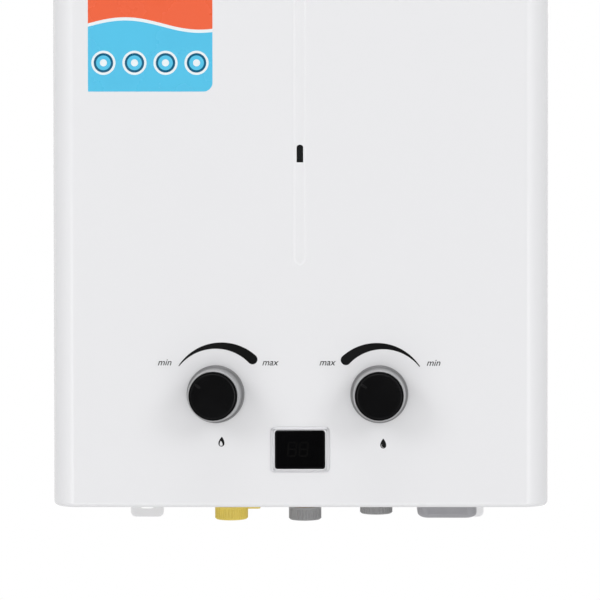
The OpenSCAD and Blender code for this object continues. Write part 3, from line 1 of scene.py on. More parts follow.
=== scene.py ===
import bpy
import json
import math
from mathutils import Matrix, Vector


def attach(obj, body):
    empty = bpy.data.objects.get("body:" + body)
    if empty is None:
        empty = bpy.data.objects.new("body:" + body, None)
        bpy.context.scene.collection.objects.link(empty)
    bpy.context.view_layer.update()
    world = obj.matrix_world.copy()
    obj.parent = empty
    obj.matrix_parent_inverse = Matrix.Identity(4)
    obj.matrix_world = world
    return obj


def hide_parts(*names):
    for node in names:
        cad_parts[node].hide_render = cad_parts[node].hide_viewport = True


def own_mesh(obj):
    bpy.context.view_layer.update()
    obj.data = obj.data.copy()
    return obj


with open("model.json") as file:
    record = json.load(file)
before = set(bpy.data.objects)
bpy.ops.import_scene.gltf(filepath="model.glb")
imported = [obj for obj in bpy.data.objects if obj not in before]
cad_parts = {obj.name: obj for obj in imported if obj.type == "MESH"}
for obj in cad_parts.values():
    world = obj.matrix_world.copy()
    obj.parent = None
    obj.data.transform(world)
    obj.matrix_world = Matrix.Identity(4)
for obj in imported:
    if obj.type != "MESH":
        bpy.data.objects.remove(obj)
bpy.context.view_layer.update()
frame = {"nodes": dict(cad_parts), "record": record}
print("frame loaded:", len(frame["nodes"]), "CAD nodes")

baseZ = -0.266  # the casing's lower edge, seen from the frame's origin
faceY = -0.138  # the casing's front face
tiny = 1e-5
mergeDistance = 1e-6


# Everyday moves

def deselectAll():
    if bpy.context.mode != "OBJECT":
        bpy.ops.object.mode_set(mode="OBJECT")
    bpy.ops.object.select_all(action="DESELECT")


def makeActive(piece):
    deselectAll()
    piece.select_set(True)
    bpy.context.view_layer.objects.active = piece


def editAll(piece):
    makeActive(piece)
    bpy.ops.object.mode_set(mode="EDIT")
    bpy.ops.mesh.select_mode(type="VERT")
    bpy.ops.mesh.select_all(action="SELECT")


def endEdit():
    bpy.ops.object.mode_set(mode="OBJECT")


def pick(piece, kind, test):  # leaves the piece in edit mode with what passes the test selected
    makeActive(piece)
    bpy.ops.object.mode_set(mode="EDIT")
    bpy.ops.mesh.select_mode(type=kind)
    bpy.ops.mesh.select_all(action="DESELECT")
    bpy.ops.object.mode_set(mode="OBJECT")
    mesh = piece.data
    if kind == "FACE":
        for face in mesh.polygons:
            face.select = test(face.center, face.normal)
    elif kind == "EDGE":
        for edge in mesh.edges:
            edge.select = test(*[mesh.vertices[i].co for i in edge.vertices])
    else:
        for corner in mesh.vertices:
            corner.select = test(corner.co)
    bpy.ops.object.mode_set(mode="EDIT")


def pickRims(piece):  # leaves the piece in edit mode with its open rims selected
    editAll(piece)
    bpy.ops.mesh.select_mode(type="EDGE")
    bpy.ops.mesh.select_all(action="DESELECT")
    bpy.ops.mesh.select_non_manifold(extend=False)


def place(piece, location=(0, 0, 0), rotation=(0, 0, 0)):
    makeActive(piece)
    piece.location = location
    piece.rotation_euler = rotation
    bpy.ops.object.transform_apply(location=True, rotation=True, scale=True)
    return piece


def bevelEdges(piece, test, width, segments, profile=0.5):
    pick(piece, "EDGE", test)
    bpy.ops.mesh.bevel(offset=width, segments=segments, profile=profile, affect="EDGES", clamp_overlap=True)
    endEdit()


def bevelCorners(piece, test, width, segments):
    pick(piece, "VERT", test)
    bpy.ops.mesh.bevel(offset=width, segments=segments, profile=0.5, affect="VERTICES", clamp_overlap=True)
    endEdit()


def mergeDoubles(piece):
    editAll(piece)
    bpy.ops.mesh.remove_doubles(threshold=mergeDistance)
    bpy.ops.mesh.normals_make_consistent(inside=False)
    endEdit()


def applyModifier(piece, kind, **settings):
    makeActive(piece)
    modifier = piece.modifiers.new(kind.lower(), kind)
    for key, value in settings.items():
        setattr(modifier, key, value)
    bpy.ops.object.modifier_apply(modifier=modifier.name)


def combine(piece, tool, operation="DIFFERENCE"):
    applyModifier(piece, "BOOLEAN", operation=operation, solver="EXACT", object=tool)
    bpy.data.objects.remove(tool, do_unlink=True)


def joinAll(parts):
    deselectAll()
    for part in parts:
        part.select_set(True)
    bpy.context.view_layer.objects.active = parts[0]
    bpy.ops.object.join()
    return parts[0]


def copyOf(piece):
    twin = piece.copy()
    twin.data = piece.data.copy()
    bpy.context.scene.collection.objects.link(twin)
    return twin


def polish(piece, angle=35):  # smooth where it is round, flat where it is flat
    makeActive(piece)
    bpy.ops.object.shade_smooth_by_angle(angle=math.radians(angle))
    applyModifier(piece, "WEIGHTED_NORMAL", keep_sharp=True)


def box(size, centre):
    deselectAll()
    bpy.ops.mesh.primitive_cube_add(size=1, location=centre, scale=size)
    bpy.ops.object.transform_apply(location=True, rotation=True, scale=True)
    return bpy.context.object


def disc(radius, depth, centre, rotation=(0, 0, 0), sides=64):
    deselectAll()
    bpy.ops.mesh.primitive_cylinder_add(vertices=sides, radius=radius, depth=depth, location=centre,
                                        rotation=rotation)
    bpy.ops.object.transform_apply(location=True, rotation=True, scale=True)
    return bpy.context.object


def flatPlate(width, height):
    deselectAll()
    bpy.ops.mesh.primitive_plane_add(size=1)
    plate = bpy.context.object
    plate.scale = (width, height, 1)
    return place(plate)


def roundedBlock(width, height, thick, radius, segments=10, onlyTop=False):  # flat on z = 0, thickness to +z
    block = flatPlate(width, height)
    bevelCorners(block, lambda co: co.y > 0 or not onlyTop, radius, segments)
    editAll(block)
    bpy.ops.mesh.remove_doubles(threshold=mergeDistance)
    bpy.ops.mesh.extrude_region_move(TRANSFORM_OT_translate={"value": (0, 0, thick)})
    bpy.ops.mesh.select_all(action="SELECT")
    bpy.ops.mesh.normals_make_consistent(inside=False)
    endEdit()
    return block


def arc(centreR, centreZ, radius, start, end, count):
    angles = [math.radians(start + (end - start) * i / count) for i in range(count + 1)]
    return [(centreR + radius * math.cos(a), centreZ + radius * math.sin(a)) for a in angles]


def turned(profile, steps=96):  # a profile of (radius, height) spun round z
    deselectAll()
    bpy.ops.mesh.primitive_plane_add(size=0.01)
    piece = bpy.context.object
    editAll(piece)
    bpy.ops.mesh.merge(type="CENTER")
    bpy.ops.transform.translate(value=(profile[0][0], 0, profile[0][1]))
    for here, there in zip(profile, profile[1:]):
        stride = (there[0] - here[0], 0, there[1] - here[1])
        bpy.ops.mesh.extrude_vertices_move(TRANSFORM_OT_translate={"value": stride})
    bpy.ops.mesh.select_all(action="SELECT")
    bpy.ops.mesh.spin(steps=steps, angle=2 * math.pi, center=(0, 0, 0), axis=(0, 0, 1))
    endEdit()
    mergeDoubles(piece)
    return piece


def wind(piece, pitch, turns, steps, sides):  # winds a ring of edges up z and closes both ends
    applyModifier(piece, "SCREW", axis="Z", angle=2 * math.pi, screw_offset=pitch, iterations=turns,
                  steps=steps, render_steps=steps, use_merge_vertices=False)
    pickRims(piece)
    bpy.ops.mesh.fill_holes(sides=sides)
    endEdit()
    mergeDoubles(piece)


def fit(piece, name, body, slot, nodes=(), finish=None):
    piece.name = name
    piece.data.name = name
    piece.data.materials.clear()
    piece.data.materials.append(finish or finishes[slot])
    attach(piece, body)
    if nodes:
        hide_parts(*nodes)
    return piece


# Finishes

colourSocket, vectorSocket, floatSocket = "NodeSocketColor", "NodeSocketVector", "NodeSocketFloat"


def newGroup(name, inputs, outputs):
    group = bpy.data.node_groups.new(name, "ShaderNodeTree")
    for label, kind, value in inputs:
        group.interface.new_socket(name=label, in_out="INPUT", socket_type=kind).default_value = value
    for label, kind in outputs:
        group.interface.new_socket(name=label, in_out="OUTPUT", socket_type=kind)
    start = group.nodes.new("NodeGroupInput")
    end = group.nodes.new("NodeGroupOutput")
    return group, start, end


def addNode(tree, kind, **settings):
    node = tree.nodes.new("ShaderNode" + kind)
    for key, value in settings.items():
        setattr(node, key, value)
    return node


def setInput(node, entry, value):
    node.inputs[entry].default_value = value


def link(tree, source, output, target, entry):
    tree.links.new(source.outputs[output], target.inputs[entry])


def patternInputs(stretch, low=0, high=1):
    return [("Stretch", vectorSocket, (stretch, stretch, stretch)), ("Low", floatSocket, low),
            ("High", floatSocket, high)]


def patternInGroup(group, start, kind):  # a pattern at the size that the group is given
    coords = addNode(group, "TexCoord")
    stretch = addNode(group, "VectorMath", operation="MULTIPLY")
    pattern = addNode(group, kind)
    setInput(pattern, "Scale", 1)
    link(group, coords, "Object", stretch, 0)
    link(group, start, "Stretch", stretch, 1)
    link(group, stretch, "Vector", pattern, "Vector")
    return pattern


def noiseInGroup(group, start, detail):
    noise = patternInGroup(group, start, "TexNoise")
    setInput(noise, "Detail", detail)
    return noise


def rangeInGroup(group, start, source):
    spread = addNode(group, "MapRange", interpolation_type="SMOOTHSTEP")
    setInput(spread, "From Min", 0.3)
    setInput(spread, "From Max", 0.7)
    group.links.new(source, spread.inputs["Value"])
    link(group, start, "Low", spread, "To Min")
    link(group, start, "High", spread, "To Max")
    return spread


def makeTwoTone():  # two close shades that drift into each other
    tones = [(label, colourSocket, (1, 1, 1, 1)) for label in ("First", "Second")]
    group, start, end = newGroup("twoTone", tones + patternInputs(10), [("Tint", colourSocket)])
    spread = rangeInGroup(group, start, noiseInGroup(group, start, 4).outputs["Fac"])
    mix = addNode(group, "Mix", data_type="RGBA")
    link(group, spread, "Result", mix, "Factor")
    link(group, start, "First", mix, "A")
    link(group, start, "Second", mix, "B")
    link(group, mix, "Result", end, "Tint")
    return group


def makeHandling():  # uneven gloss
    group, start, end = newGroup("handling", patternInputs(30, 0.3, 0.4), [("Gloss", floatSocket)])
    spread = rangeInGroup(group, start, noiseInGroup(group, start, 5).outputs["Fac"])
    link(group, spread, "Result", end, "Gloss")
    return group


def makeGrain():  # fine relief of a skin, a casting or a drawn surface
    group, start, end = newGroup("grain", patternInputs(500)[:1], [("Height", floatSocket)])
    noise = noiseInGroup(group, start, 2)
    link(group, noise, "Fac", end, "Height")
    return group


def makeSpangle():  # crystal patches of zinc
    group, start, end = newGroup("spangle", patternInputs(90), [("Patch", floatSocket)])
    cells = patternInGroup(group, start, "TexVoronoi")
    grey = addNode(group, "RGBToBW")
    link(group, cells, "Color", grey, "Color")
    spread = rangeInGroup(group, start, grey.outputs["Val"])
    link(group, spread, "Result", end, "Patch")
    return group


twoTone, handling, grain, spangle = makeTwoTone(), makeHandling(), makeGrain(), makeSpangle()


def useGroup(tree, group, **values):
    node = addNode(tree, "Group")
    node.node_tree = group
    for label, value in values.items():
        node.inputs[label].default_value = value
    return node


def alike(value):  # one number stands for all three directions
    return value if isinstance(value, tuple) else (value, value, value)


def makeFinish(name, look):
    material = bpy.data.materials.new(name)
    material.use_nodes = True
    tree = material.node_tree
    shader = tree.nodes["Principled BSDF"]
    setInput(shader, "Metallic", look.get("metallic", 0))
    setInput(shader, "IOR", look.get("ior", 1.5))
    setInput(shader, "Coat Weight", look.get("coat", 0))
    setInput(shader, "Coat Roughness", look.get("coatRough", 0.1))
    setInput(shader, "Transmission Weight", look.get("clear", 0))
    low, high = look["rough"]
    tint = useGroup(tree, twoTone, First=(*look["colour"], 1), Second=(*look["second"], 1),
                    Stretch=alike(look.get("drift", 25)))
    gloss = useGroup(tree, handling, Stretch=alike(40), Low=low, High=high)
    skin = useGroup(tree, grain, Stretch=alike(look.get("skin", 900)))
    bump = addNode(tree, "Bump")
    setInput(bump, "Strength", look.get("relief", 0.1))
    setInput(bump, "Distance", 0.0005)
    link(tree, tint, "Tint", shader, "Base Color")
    link(tree, gloss, "Gloss", shader, "Roughness")
    link(tree, skin, "Height", bump, "Height")
    link(tree, bump, "Normal", shader, "Normal")
    if "patches" in look:  # zinc sheet takes its gloss from the spangle
        patch = useGroup(tree, spangle, Stretch=alike(look["patches"]), Low=low, High=high)
        link(tree, patch, "Patch", shader, "Roughness")
    return material


looks = {
    "enamel_white": {"colour": (0.80, 0.80, 0.815), "second": (0.797, 0.797, 0.812), "drift": 6,
        "rough": (0.235, 0.245), "skin": 420, "relief": 0.006, "coat": 0.25, "coatRough": 0.06},
    "chassis_paint": {"colour": (0.90, 0.90, 0.91), "second": (0.88, 0.88, 0.89), "rough": (0.38, 0.5),
        "skin": 700, "relief": 0.05},
    "galvanised": {"colour": (0.60, 0.62, 0.64), "second": (0.52, 0.54, 0.57), "drift": 60,
        "rough": (0.28, 0.46), "metallic": 1, "patches": 95, "relief": 0.03},
    "knob_silver": {"colour": (0.46, 0.46, 0.47), "second": (0.43, 0.43, 0.44), "drift": 150,
        "rough": (0.34, 0.40), "metallic": 0.4, "skin": 2600, "relief": 0.04},
    "knob_black": {"colour": (0.0032, 0.0032, 0.0036), "second": (0.0040, 0.0040, 0.0044),
        "rough": (0.2, 0.28), "ior": 1.36, "skin": 1500, "relief": 0.01},
    "brass": {"colour": (0.62, 0.45, 0.19), "second": (0.55, 0.37, 0.15), "drift": 90,
        "rough": (0.22, 0.36), "metallic": 1, "skin": (200, 200, 5000), "relief": 0.04},
    "bezel_chrome": {"colour": (0.70, 0.70, 0.72), "second": (0.68, 0.68, 0.70), "rough": (0.3, 0.34),
        "metallic": 0.7, "relief": 0.004},
    "window_black": {"colour": (0.0016, 0.0016, 0.0019), "second": (0.0021, 0.0021, 0.0024),
        "rough": (0.05, 0.09), "ior": 1.45, "relief": 0.003},
    "circuit_board": {"colour": (0.02, 0.13, 0.05), "second": (0.03, 0.17, 0.07), "drift": 300,
        "rough": (0.3, 0.45), "coat": 0.4},
    "cap_yellow": {"colour": (0.83, 0.65, 0.119), "second": (0.78, 0.61, 0.108), "drift": 120,
        "rough": (0.42, 0.52), "skin": 2200, "relief": 0.06},
    "cap_grey": {"colour": (0.322, 0.321, 0.326), "second": (0.296, 0.295, 0.300), "drift": 120,
        "rough": (0.45, 0.55), "skin": 2200, "relief": 0.06},
    "box_grey": {"colour": (0.356, 0.354, 0.374), "second": (0.330, 0.328, 0.348), "drift": 80,
        "rough": (0.36, 0.46), "skin": 1800, "relief": 0.05},
    "steel": {"colour": (0.56, 0.57, 0.58), "second": (0.49, 0.50, 0.52), "drift": (120, 120, 30),
        "rough": (0.24, 0.4), "metallic": 1, "skin": (150, 3000, 3000), "relief": 0.03},
    "cell_wrap": {"colour": (0.05, 0.06, 0.08), "second": (0.06, 0.07, 0.095), "rough": (0.18, 0.3),
        "coat": 0.4},
    "cast_alloy": {"colour": (0.50, 0.50, 0.51), "second": (0.42, 0.42, 0.43), "drift": 200,
        "rough": (0.45, 0.6), "metallic": 1, "skin": 1200, "relief": 0.25},
    "rubber_black": {"colour": (0.018, 0.018, 0.018), "second": (0.026, 0.026, 0.026),
        "rough": (0.6, 0.75), "relief": 0.1},
    "black_plastic": {"colour": (0.028, 0.028, 0.03), "second": (0.036, 0.036, 0.038),
        "rough": (0.4, 0.52), "skin": 1800, "relief": 0.08},
    "button_red": {"colour": (0.5, 0.02, 0.015), "second": (0.45, 0.018, 0.013), "rough": (0.25, 0.35)},
    "stainless": {"colour": (0.46, 0.45, 0.43), "second": (0.38, 0.34, 0.30), "drift": (40, 40, 60),
        "rough": (0.26, 0.4), "metallic": 1, "skin": (3000, 150, 3000), "relief": 0.03},
    "ceramic": {"colour": (0.80, 0.77, 0.70), "second": (0.76, 0.72, 0.64), "drift": 200,
        "rough": (0.2, 0.32), "coat": 0.3},
    "copper": {"colour": (0.56, 0.25, 0.14), "second": (0.34, 0.13, 0.075), "drift": 30,
        "rough": (0.24, 0.44), "metallic": 1, "skin": 900, "relief": 0.04},
    "controller_plastic": {"colour": (0.66, 0.66, 0.63), "second": (0.62, 0.62, 0.59),
        "rough": (0.4, 0.5), "relief": 0.06},
    "sight_glass": {"colour": (0.15, 0.16, 0.165), "second": (0.13, 0.14, 0.145), "rough": (0.03, 0.06),
        "clear": 0.9, "ior": 1.47, "relief": 0.002},
}
finishes = {slot: makeFinish(slot, look) for slot, look in looks.items()}
for part in frame["record"]["subparts"]:
    node = frame["nodes"][part["node"]]
    node.data.materials.clear()
    node.data.materials.append(finishes[part["material_slot"]])
print("finishes made:", len(finishes))


# Pressed front cover: one sheet with rounded upright edges, folds, a groove and its openings

cover = {
    "width": 0.340, "height": 0.590, "depth": 0.138, "rearGap": 0.002, "sheet": 0.0008,
    "uprightRound": 0.0164, "uprightShape": 0.43, "foldRound": 0.0035, "lip": 0.014,
    "grooveWidth": 0.0106, "grooveFloor": 0.0058, "grooveDepth": 0.00065, "grooveLow": 0.164,
    "grooveHigh": 0.545, "grooveSoft": 0.0005,
    "sightWidth": 0.0045, "sightHeight": 0.012, "sightLow": 0.2352, "sightArch": 0.0020,
    "knobSides": (-0.0574, 0.054), "knobHeight": 0.0775, "spindleHole": 0.008,
    "windowWidth": 0.0362, "windowHeight": 0.028, "windowMiddle": 0.0396,
    "flueOut": 0.066, "flueNotch": 0.05875,
    "ventLength": 0.044, "ventWidth": 0.004, "ventPitch": 0.011, "ventCount": 8, "ventSide": 0.107875,
    "screwSide": 0.163, "screwOut": 0.090, "screwHole": 0.0021,
}
towardsFront = (math.pi / 2, 0, 0)  # lays a shape drawn upwards towards the front


def grooveTool(s):  # long channel with sloping walls and round ends
    length = s["grooveHigh"] - s["grooveLow"]
    middle = baseZ + (s["grooveHigh"] + s["grooveLow"]) / 2
    ahead = 0.0005
    tool = place(flatPlate(s["grooveWidth"], length), (0, faceY - ahead, middle), towardsFront)
    bevelCorners(tool, lambda co: True, s["grooveWidth"] / 2, 12)
    editAll(tool)
    bpy.ops.mesh.remove_doubles(threshold=mergeDistance)
    bpy.ops.mesh.extrude_region_move(TRANSFORM_OT_translate={"value": (0, ahead + s["grooveDepth"], 0)})
    slope = s["grooveWidth"] - s["grooveFloor"]
    shrink = (s["grooveFloor"] / s["grooveWidth"], 1, (length - slope) / length)
    bpy.ops.transform.resize(value=shrink, center_override=(0, faceY, middle))
    bpy.ops.mesh.select_all(action="SELECT")
    bpy.ops.mesh.normals_make_consistent(inside=False)
    endEdit()
    return tool


def coverOpenings(s):
    top = baseZ + s["height"]
    cut, deepCut = 0.006, 0.01  # how far the cutters reach through the sheet
    tools = [box((s["width"] - 2 * s["lip"], s["depth"], deepCut), (0, s["lip"] - s["depth"] / 2, baseZ))]
    for x in s["knobSides"]:
        tools.append(disc(s["spindleHole"], cut, (x, faceY, baseZ + s["knobHeight"]), towardsFront))
    for side in (-1, 1):
        tools.append(disc(s["screwHole"], cut, (side * s["screwSide"], -s["screwOut"], baseZ), sides=24))
        for i in range(s["ventCount"]):
            vent = roundedBlock(s["ventLength"], s["ventWidth"], cut, s["ventWidth"] / 2, 8)
            out = s["flueOut"] + (i - (s["ventCount"] - 1) / 2) * s["ventPitch"]
            tools.append(place(vent, (side * s["ventSide"], -out, top - cut / 2)))
    tools.append(box((s["windowWidth"], cut, s["windowHeight"]), (0, faceY, baseZ + s["windowMiddle"])))
    slot = roundedBlock(s["sightWidth"], s["sightHeight"], deepCut, s["sightArch"], 6, onlyTop=True)
    slotMiddle = baseZ + s["sightLow"] + s["sightHeight"] / 2
    tools.append(place(slot, (0, faceY + deepCut / 2, slotMiddle), towardsFront))
    reach = s["flueOut"] + s["flueNotch"] + deepCut
    notch = roundedBlock(2 * s["flueNotch"], reach, cut, s["flueNotch"], 32, onlyTop=True)
    tools.append(place(notch, (0, deepCut - reach / 2, top + cut / 2), (math.pi, 0, 0)))
    return joinAll(tools)


def buildCover(s):
    top = baseZ + s["height"]
    middleY = -(s["depth"] + s["rearGap"]) / 2
    shell = box((s["width"], s["depth"] - s["rearGap"], s["height"]), (0, middleY, baseZ + s["height"] / 2))

    def frontUpright(a, b):
        return abs(a.x - b.x) < tiny and a.y < faceY + tiny and b.y < faceY + tiny

    def topOrBottomRim(a, b):
        level = abs(a.z - b.z) < tiny and min(abs(a.z - top), abs(a.z - baseZ)) < tiny
        return level and not (a.y > -s["rearGap"] - tiny and b.y > -s["rearGap"] - tiny)

    bevelEdges(shell, frontUpright, s["uprightRound"], 20, s["uprightShape"])
    bevelEdges(shell, topOrBottomRim, s["foldRound"], 6)
    combine(shell, grooveTool(s))
    slack = 0.0002
    half = s["grooveWidth"] / 2 + slack

    def grooveEdge(a, b):
        inside = max(abs(a.x), abs(b.x)) < half and min(a.z, b.z) > baseZ + s["grooveLow"] - slack
        floorY = faceY + s["grooveDepth"]
        level = abs(a.y - b.y) < tiny and min(abs(a.y - faceY), abs(a.y - floorY)) < tiny
        return inside and level and max(a.z, b.z) < baseZ + s["grooveHigh"] + slack

    bevelEdges(shell, grooveEdge, s["grooveSoft"], 3)
    pick(shell, "FACE", lambda c, n: n.y > 0.99 and c.y > -s["rearGap"] - tiny)
    bpy.ops.mesh.delete(type="FACE")
    endEdit()
    applyModifier(shell, "SOLIDIFY", thickness=s["sheet"], offset=-1, use_even_offset=True)
    combine(shell, coverOpenings(s))
    mergeDoubles(shell)
    polish(shell, 32)
    return shell


fit(buildCover(cover), "pressedCover", "casing", "enamel_white", ["front_cover"])
print("cover pressed")


# Control knobs: a satin skirt with a black disc let into its face

knob = {
    "places": {"gas": -0.0574, "water": 0.054}, "height": 0.0775, "gap": 0.0008,
    "footRadius": 0.0197, "frontRadius": 0.0172, "rise": 0.0236, "wall": 0.002, "lipRound": 0.0007,
    # the foot colour on the next line is painted shade, not the skirt's own colour
    "innerRound": 0.0002, "flareHigh": 0.0024, "paintedFootShade": (0.20, 0.20, 0.205),
    "seat": 0.022, "hubTop": 0.020, "hubRadius": 0.0075, "boreRadius": 0.0041,
    "boreEase": 0.0003, "footSoft": 0.0004, "flareStart": 0.0007, "flareOut": 0.0002, "seatGap": 0.0001,
    "discRadius": 0.0162, "discThick": 0.0028, "discRound": 0.00012, "discEase": 0.0002, "discRim": 0.0014,
    "rimSoft": 0.00015, "dish": 0.00035, "dishSlope": 0.0010,
    "pointer": (0.0016, 0.004, 0.0006), "pointerOut": 0.0122, "pointerTurn": 56.5,
}


def knobSkirt(s):
    lip = s["lipRound"]
    foot, front = s["footRadius"], s["frontRadius"]
    bore, hub, hubTop = s["boreRadius"], s["hubRadius"], s["hubTop"]
    seatRadius = s["discRadius"] + s["seatGap"]
    profile = [(0, hubTop), (bore, hubTop), (bore, s["boreEase"]), (bore + s["boreEase"], 0)]
    profile += [(hub, 0), (hub, hubTop), (front - s["wall"], hubTop), (foot - s["wall"], 0)]
    profile += arc(foot - s["footSoft"], s["footSoft"], s["footSoft"], -90, 0, 4)
    profile += arc(foot + s["flareOut"], s["flareHigh"], s["flareHigh"] - s["flareStart"], -100, -168, 8)
    profile += arc(front - lip, s["rise"] - lip, lip, 4, 90, 7)
    profile += arc(seatRadius + s["innerRound"], s["rise"] - s["innerRound"], s["innerRound"], 90, 176, 6)
    profile += [(seatRadius, s["seat"]), (0, s["seat"])]
    return turned(profile)


def knobDisc(s):
    radius, thick, soft = s["discRadius"], s["discThick"], s["discRound"]
    inner = radius - s["discRim"]
    ease, edge = s["discEase"], s["rimSoft"]
    profile = [(0, 0), (radius - ease, 0), (radius, ease)]
    profile += arc(radius - soft, thick - soft, soft, 0, 90, 8)
    profile += arc(inner + ease, thick - edge, edge, 90, 150, 3)
    profile += [(inner - s["dishSlope"], thick - s["dish"]), (0, thick - s["dish"])]
    piece = turned(profile)
    wide, long, high = s["pointer"]
    mark = roundedBlock(wide, long, high, wide * 0.45, 6)
    bevelEdges(mark, lambda a, b: min(a.z, b.z) > high - tiny, high * 0.85, 4)
    place(mark, (0, s["pointerOut"], thick - high))
    place(mark, (0, 0, 0), (0, 0, math.radians(s["pointerTurn"])))
    combine(piece, mark, "UNION")
    return piece


def paintShadeAtFoot(material, s):  # painted shade: the skirt's colour darkens towards its foot, in place of the shade and dim reflections near the panel
    tree = material.node_tree
    shader = tree.nodes["Principled BSDF"]
    base = shader.inputs["Base Color"].links[0].from_socket
    coords = addNode(tree, "TexCoord")
    parts = addNode(tree, "SeparateXYZ")
    depth = addNode(tree, "MapRange", interpolation_type="SMOOTHSTEP")
    setInput(depth, "From Min", faceY - s["gap"])
    setInput(depth, "From Max", faceY - s["gap"] - s["rise"])
    mix = addNode(tree, "Mix", data_type="RGBA")
    setInput(mix, "A", (*s["paintedFootShade"], 1))
    link(tree, coords, "Object", parts, "Vector")
    link(tree, parts, "Y", depth, "Value")
    link(tree, depth, "Result", mix, "Factor")
    tree.links.new(base, mix.inputs["B"])
    link(tree, mix, "Result", shader, "Base Color")


def buildKnobs(s):
    # paints shade into the skirt's colour towards its foot
    paintShadeAtFoot(finishes["knob_silver"], s)
    skirt, face = knobSkirt(s), knobDisc(s)
    for side, x in s["places"].items():
        where = (x, faceY - s["gap"], baseZ + s["height"])
        sleeve = place(copyOf(skirt), where, towardsFront)
        polish(sleeve, 30)
        fit(sleeve, side + "KnobSkirt", side + "_knob", "knob_silver", [side + "_knob_skirt"])
        cap = place(copyOf(face), (x, where[1] - s["seat"], where[2]), towardsFront)
        polish(cap, 30)
        fit(cap, side + "KnobDisc", side + "_knob", "knob_black", [side + "_knob_disc"])
    for pattern in (skirt, face):
        bpy.data.objects.remove(pattern, do_unlink=True)


buildKnobs(knob)
print("knobs turned")


# Display: plated bezel with sloping borders, smoked window and its dim digits

display = {
    "middle": 0.0396, "size": (0.040, 0.0308), "corner": 0.0024, "edge": 0.0005, "rise": 0.0018,
    "window": (0.0344, 0.0266), "drop": 0.0006, "swell": 7, "glassSlope": 0.0010, "glassCorner": 0.0018,
    "neck": (0.036, 0.0278), "neckDepth": 0.008, "glassThick": 0.002, "glassGap": 0.0001,
    "archEnd": 0.86, "archPower": 0.6,
    "digitSize": (0.0054, 0.0093), "digitBar": 0.0009, "digitThick": 0.00005, "digitGap": 0.0003,
    "digitStep": 0.0079, "digitSlant": 5, "digitSpot": (-0.0014, 0.0004), "digitSunk": 0.00002,
}


def stepFace(rise, start, end):  # carries the selected face on, up or down, to another width and height
    bpy.ops.mesh.extrude_region_move(TRANSFORM_OT_translate={"value": (0, 0, rise)})
    bpy.ops.transform.resize(value=(end[0] / start[0], end[1] / start[1], 1), center_override=(0, 0, 0))


def buildBezel(s):
    border = roundedBlock(*s["size"], s["edge"], s["corner"], 8)
    pick(border, "FACE", lambda c, n: n.z > 0.9)
    here, level = s["size"], s["edge"]
    for i in range(1, s["swell"] + 1):  # a low arch from the outer edge to the window
        part = i / s["swell"]
        there = [a + (b - a) * part for a, b in zip(s["size"], s["window"])]
        arch = math.sin(math.pi * part * s["archEnd"]) ** s["archPower"]
        high = s["edge"] + (s["rise"] - s["edge"]) * arch
        stepFace(high - level, here, there)
        here, level = there, high
    bpy.ops.mesh.delete(type="FACE")
    endEdit()
    pick(border, "FACE", lambda c, n: n.z < -0.9)
    stepFace(0, s["size"], s["neck"])
    stepFace(-s["neckDepth"], s["neck"], s["neck"])
    stepFace(0, s["neck"], s["window"])
    bpy.ops.mesh.delete(type="FACE")
    endEdit()
    pickRims(border)
    bpy.ops.mesh.bridge_edge_loops()
    endEdit()
    mergeDoubles(border)
    place(border, (0, faceY, baseZ + s["middle"]), towardsFront)
    polish(border, 38)
    return border


def buildWindow(s):
    width, height = [v - 2 * s["glassGap"] for v in s["window"]]
    glass = roundedBlock(width, height, s["glassThick"], s["glassCorner"], 6)
    bevelEdges(glass, lambda a, b: min(a.z, b.z) > s["glassThick"] - tiny, s["glassSlope"], 3)
    place(glass, (0, faceY - s["rise"] + s["drop"] + s["glassThick"], baseZ + s["middle"]), towardsFront)
    polish(glass, 30)
    return glass


def buildDigits(s):  # two eights of seven bars each, leaning to the right
    wide, high = s["digitSize"]
    thick, lean = s["digitBar"], math.radians(s["digitSlant"])
    spots = [(0, j * high / 2, False) for j in (-1, 0, 1)]
    spots += [(i * wide / 2, j * high / 4, True) for i in (-1, 1) for j in (-1, 1)]
    bars = []
    for side in (-1, 1):
        for x, y, upright in spots:
            long = (high / 2 if upright else wide) - s["digitGap"]
            bar = roundedBlock(long, thick, s["digitThick"], thick * 0.49, 1)
            turn = math.pi / 2 - lean if upright else 0
            across = x + side * s["digitStep"] / 2 + y * math.tan(lean)
            bars.append(place(bar, (across, y, 0), (0, 0, turn)))
    digits = joinAll(bars)
    x, z = s["digitSpot"]
    out = faceY - s["rise"] + s["drop"] + s["digitSunk"]
    place(digits, (x, out, baseZ + s["middle"] + z), towardsFront)
    polish(digits, 30)
    return digits


fit(buildBezel(display), "displayBezel", "casing", "bezel_chrome", ["display_bezel"])
fit(buildWindow(display), "displayWindow", "casing", "window_black", ["display_window"])
fit(buildDigits(display), "displayDigits", "casing", "window_black", finish=makeFinish("dimDigits", {
    "colour": (0.0048, 0.0047, 0.0047), "second": (0.0044, 0.0043, 0.0043), "rough": (0.12, 0.2), "ior": 1.45,
    "relief": 0.003}))
print("display built")


# Printed marks on the panel: two tapering scales, plain words at their ends and a sign under each knob

ink = {
    "thick": 0.00006, "sunk": 0.00001, "cutter": 0.002,
    "wordSize": 0.0063, "wordLean": 0.3, "wordWeight": 0.00003, "wordDrop": 0.0019,
    "scales": [
        {"outer": (-0.05346, 0.07775, 0.03495), "inner": (-0.05750, 0.07675, 0.03165), "side": 1},
        {"outer": (0.05236, 0.07730, 0.03505), "inner": (0.05655, 0.07650, 0.03155), "side": -1},
    ],
    "blunt": 48, "fine": 147,
    "words": [("min", -0.0924, 0.0990), ("max", -0.0206, 0.0990), ("max", 0.0183, 0.0990),
              ("min", 0.0907, 0.0987)],
    "flame": (-0.0536, 0.0450), "drop": (0.0567, 0.0437), "signHigh": 0.0066,
    # shares of the sign's height
    "signWide": 0.62, "flameLean": 0.05, "heart": (0.3, 0.52, -0.04), "heartAt": (-0.02, 0.07),
    "glint": 0.21, "glintUp": 0.31, "glintCut": 0.23, "glintCutAt": (0.06, 0.34),
}


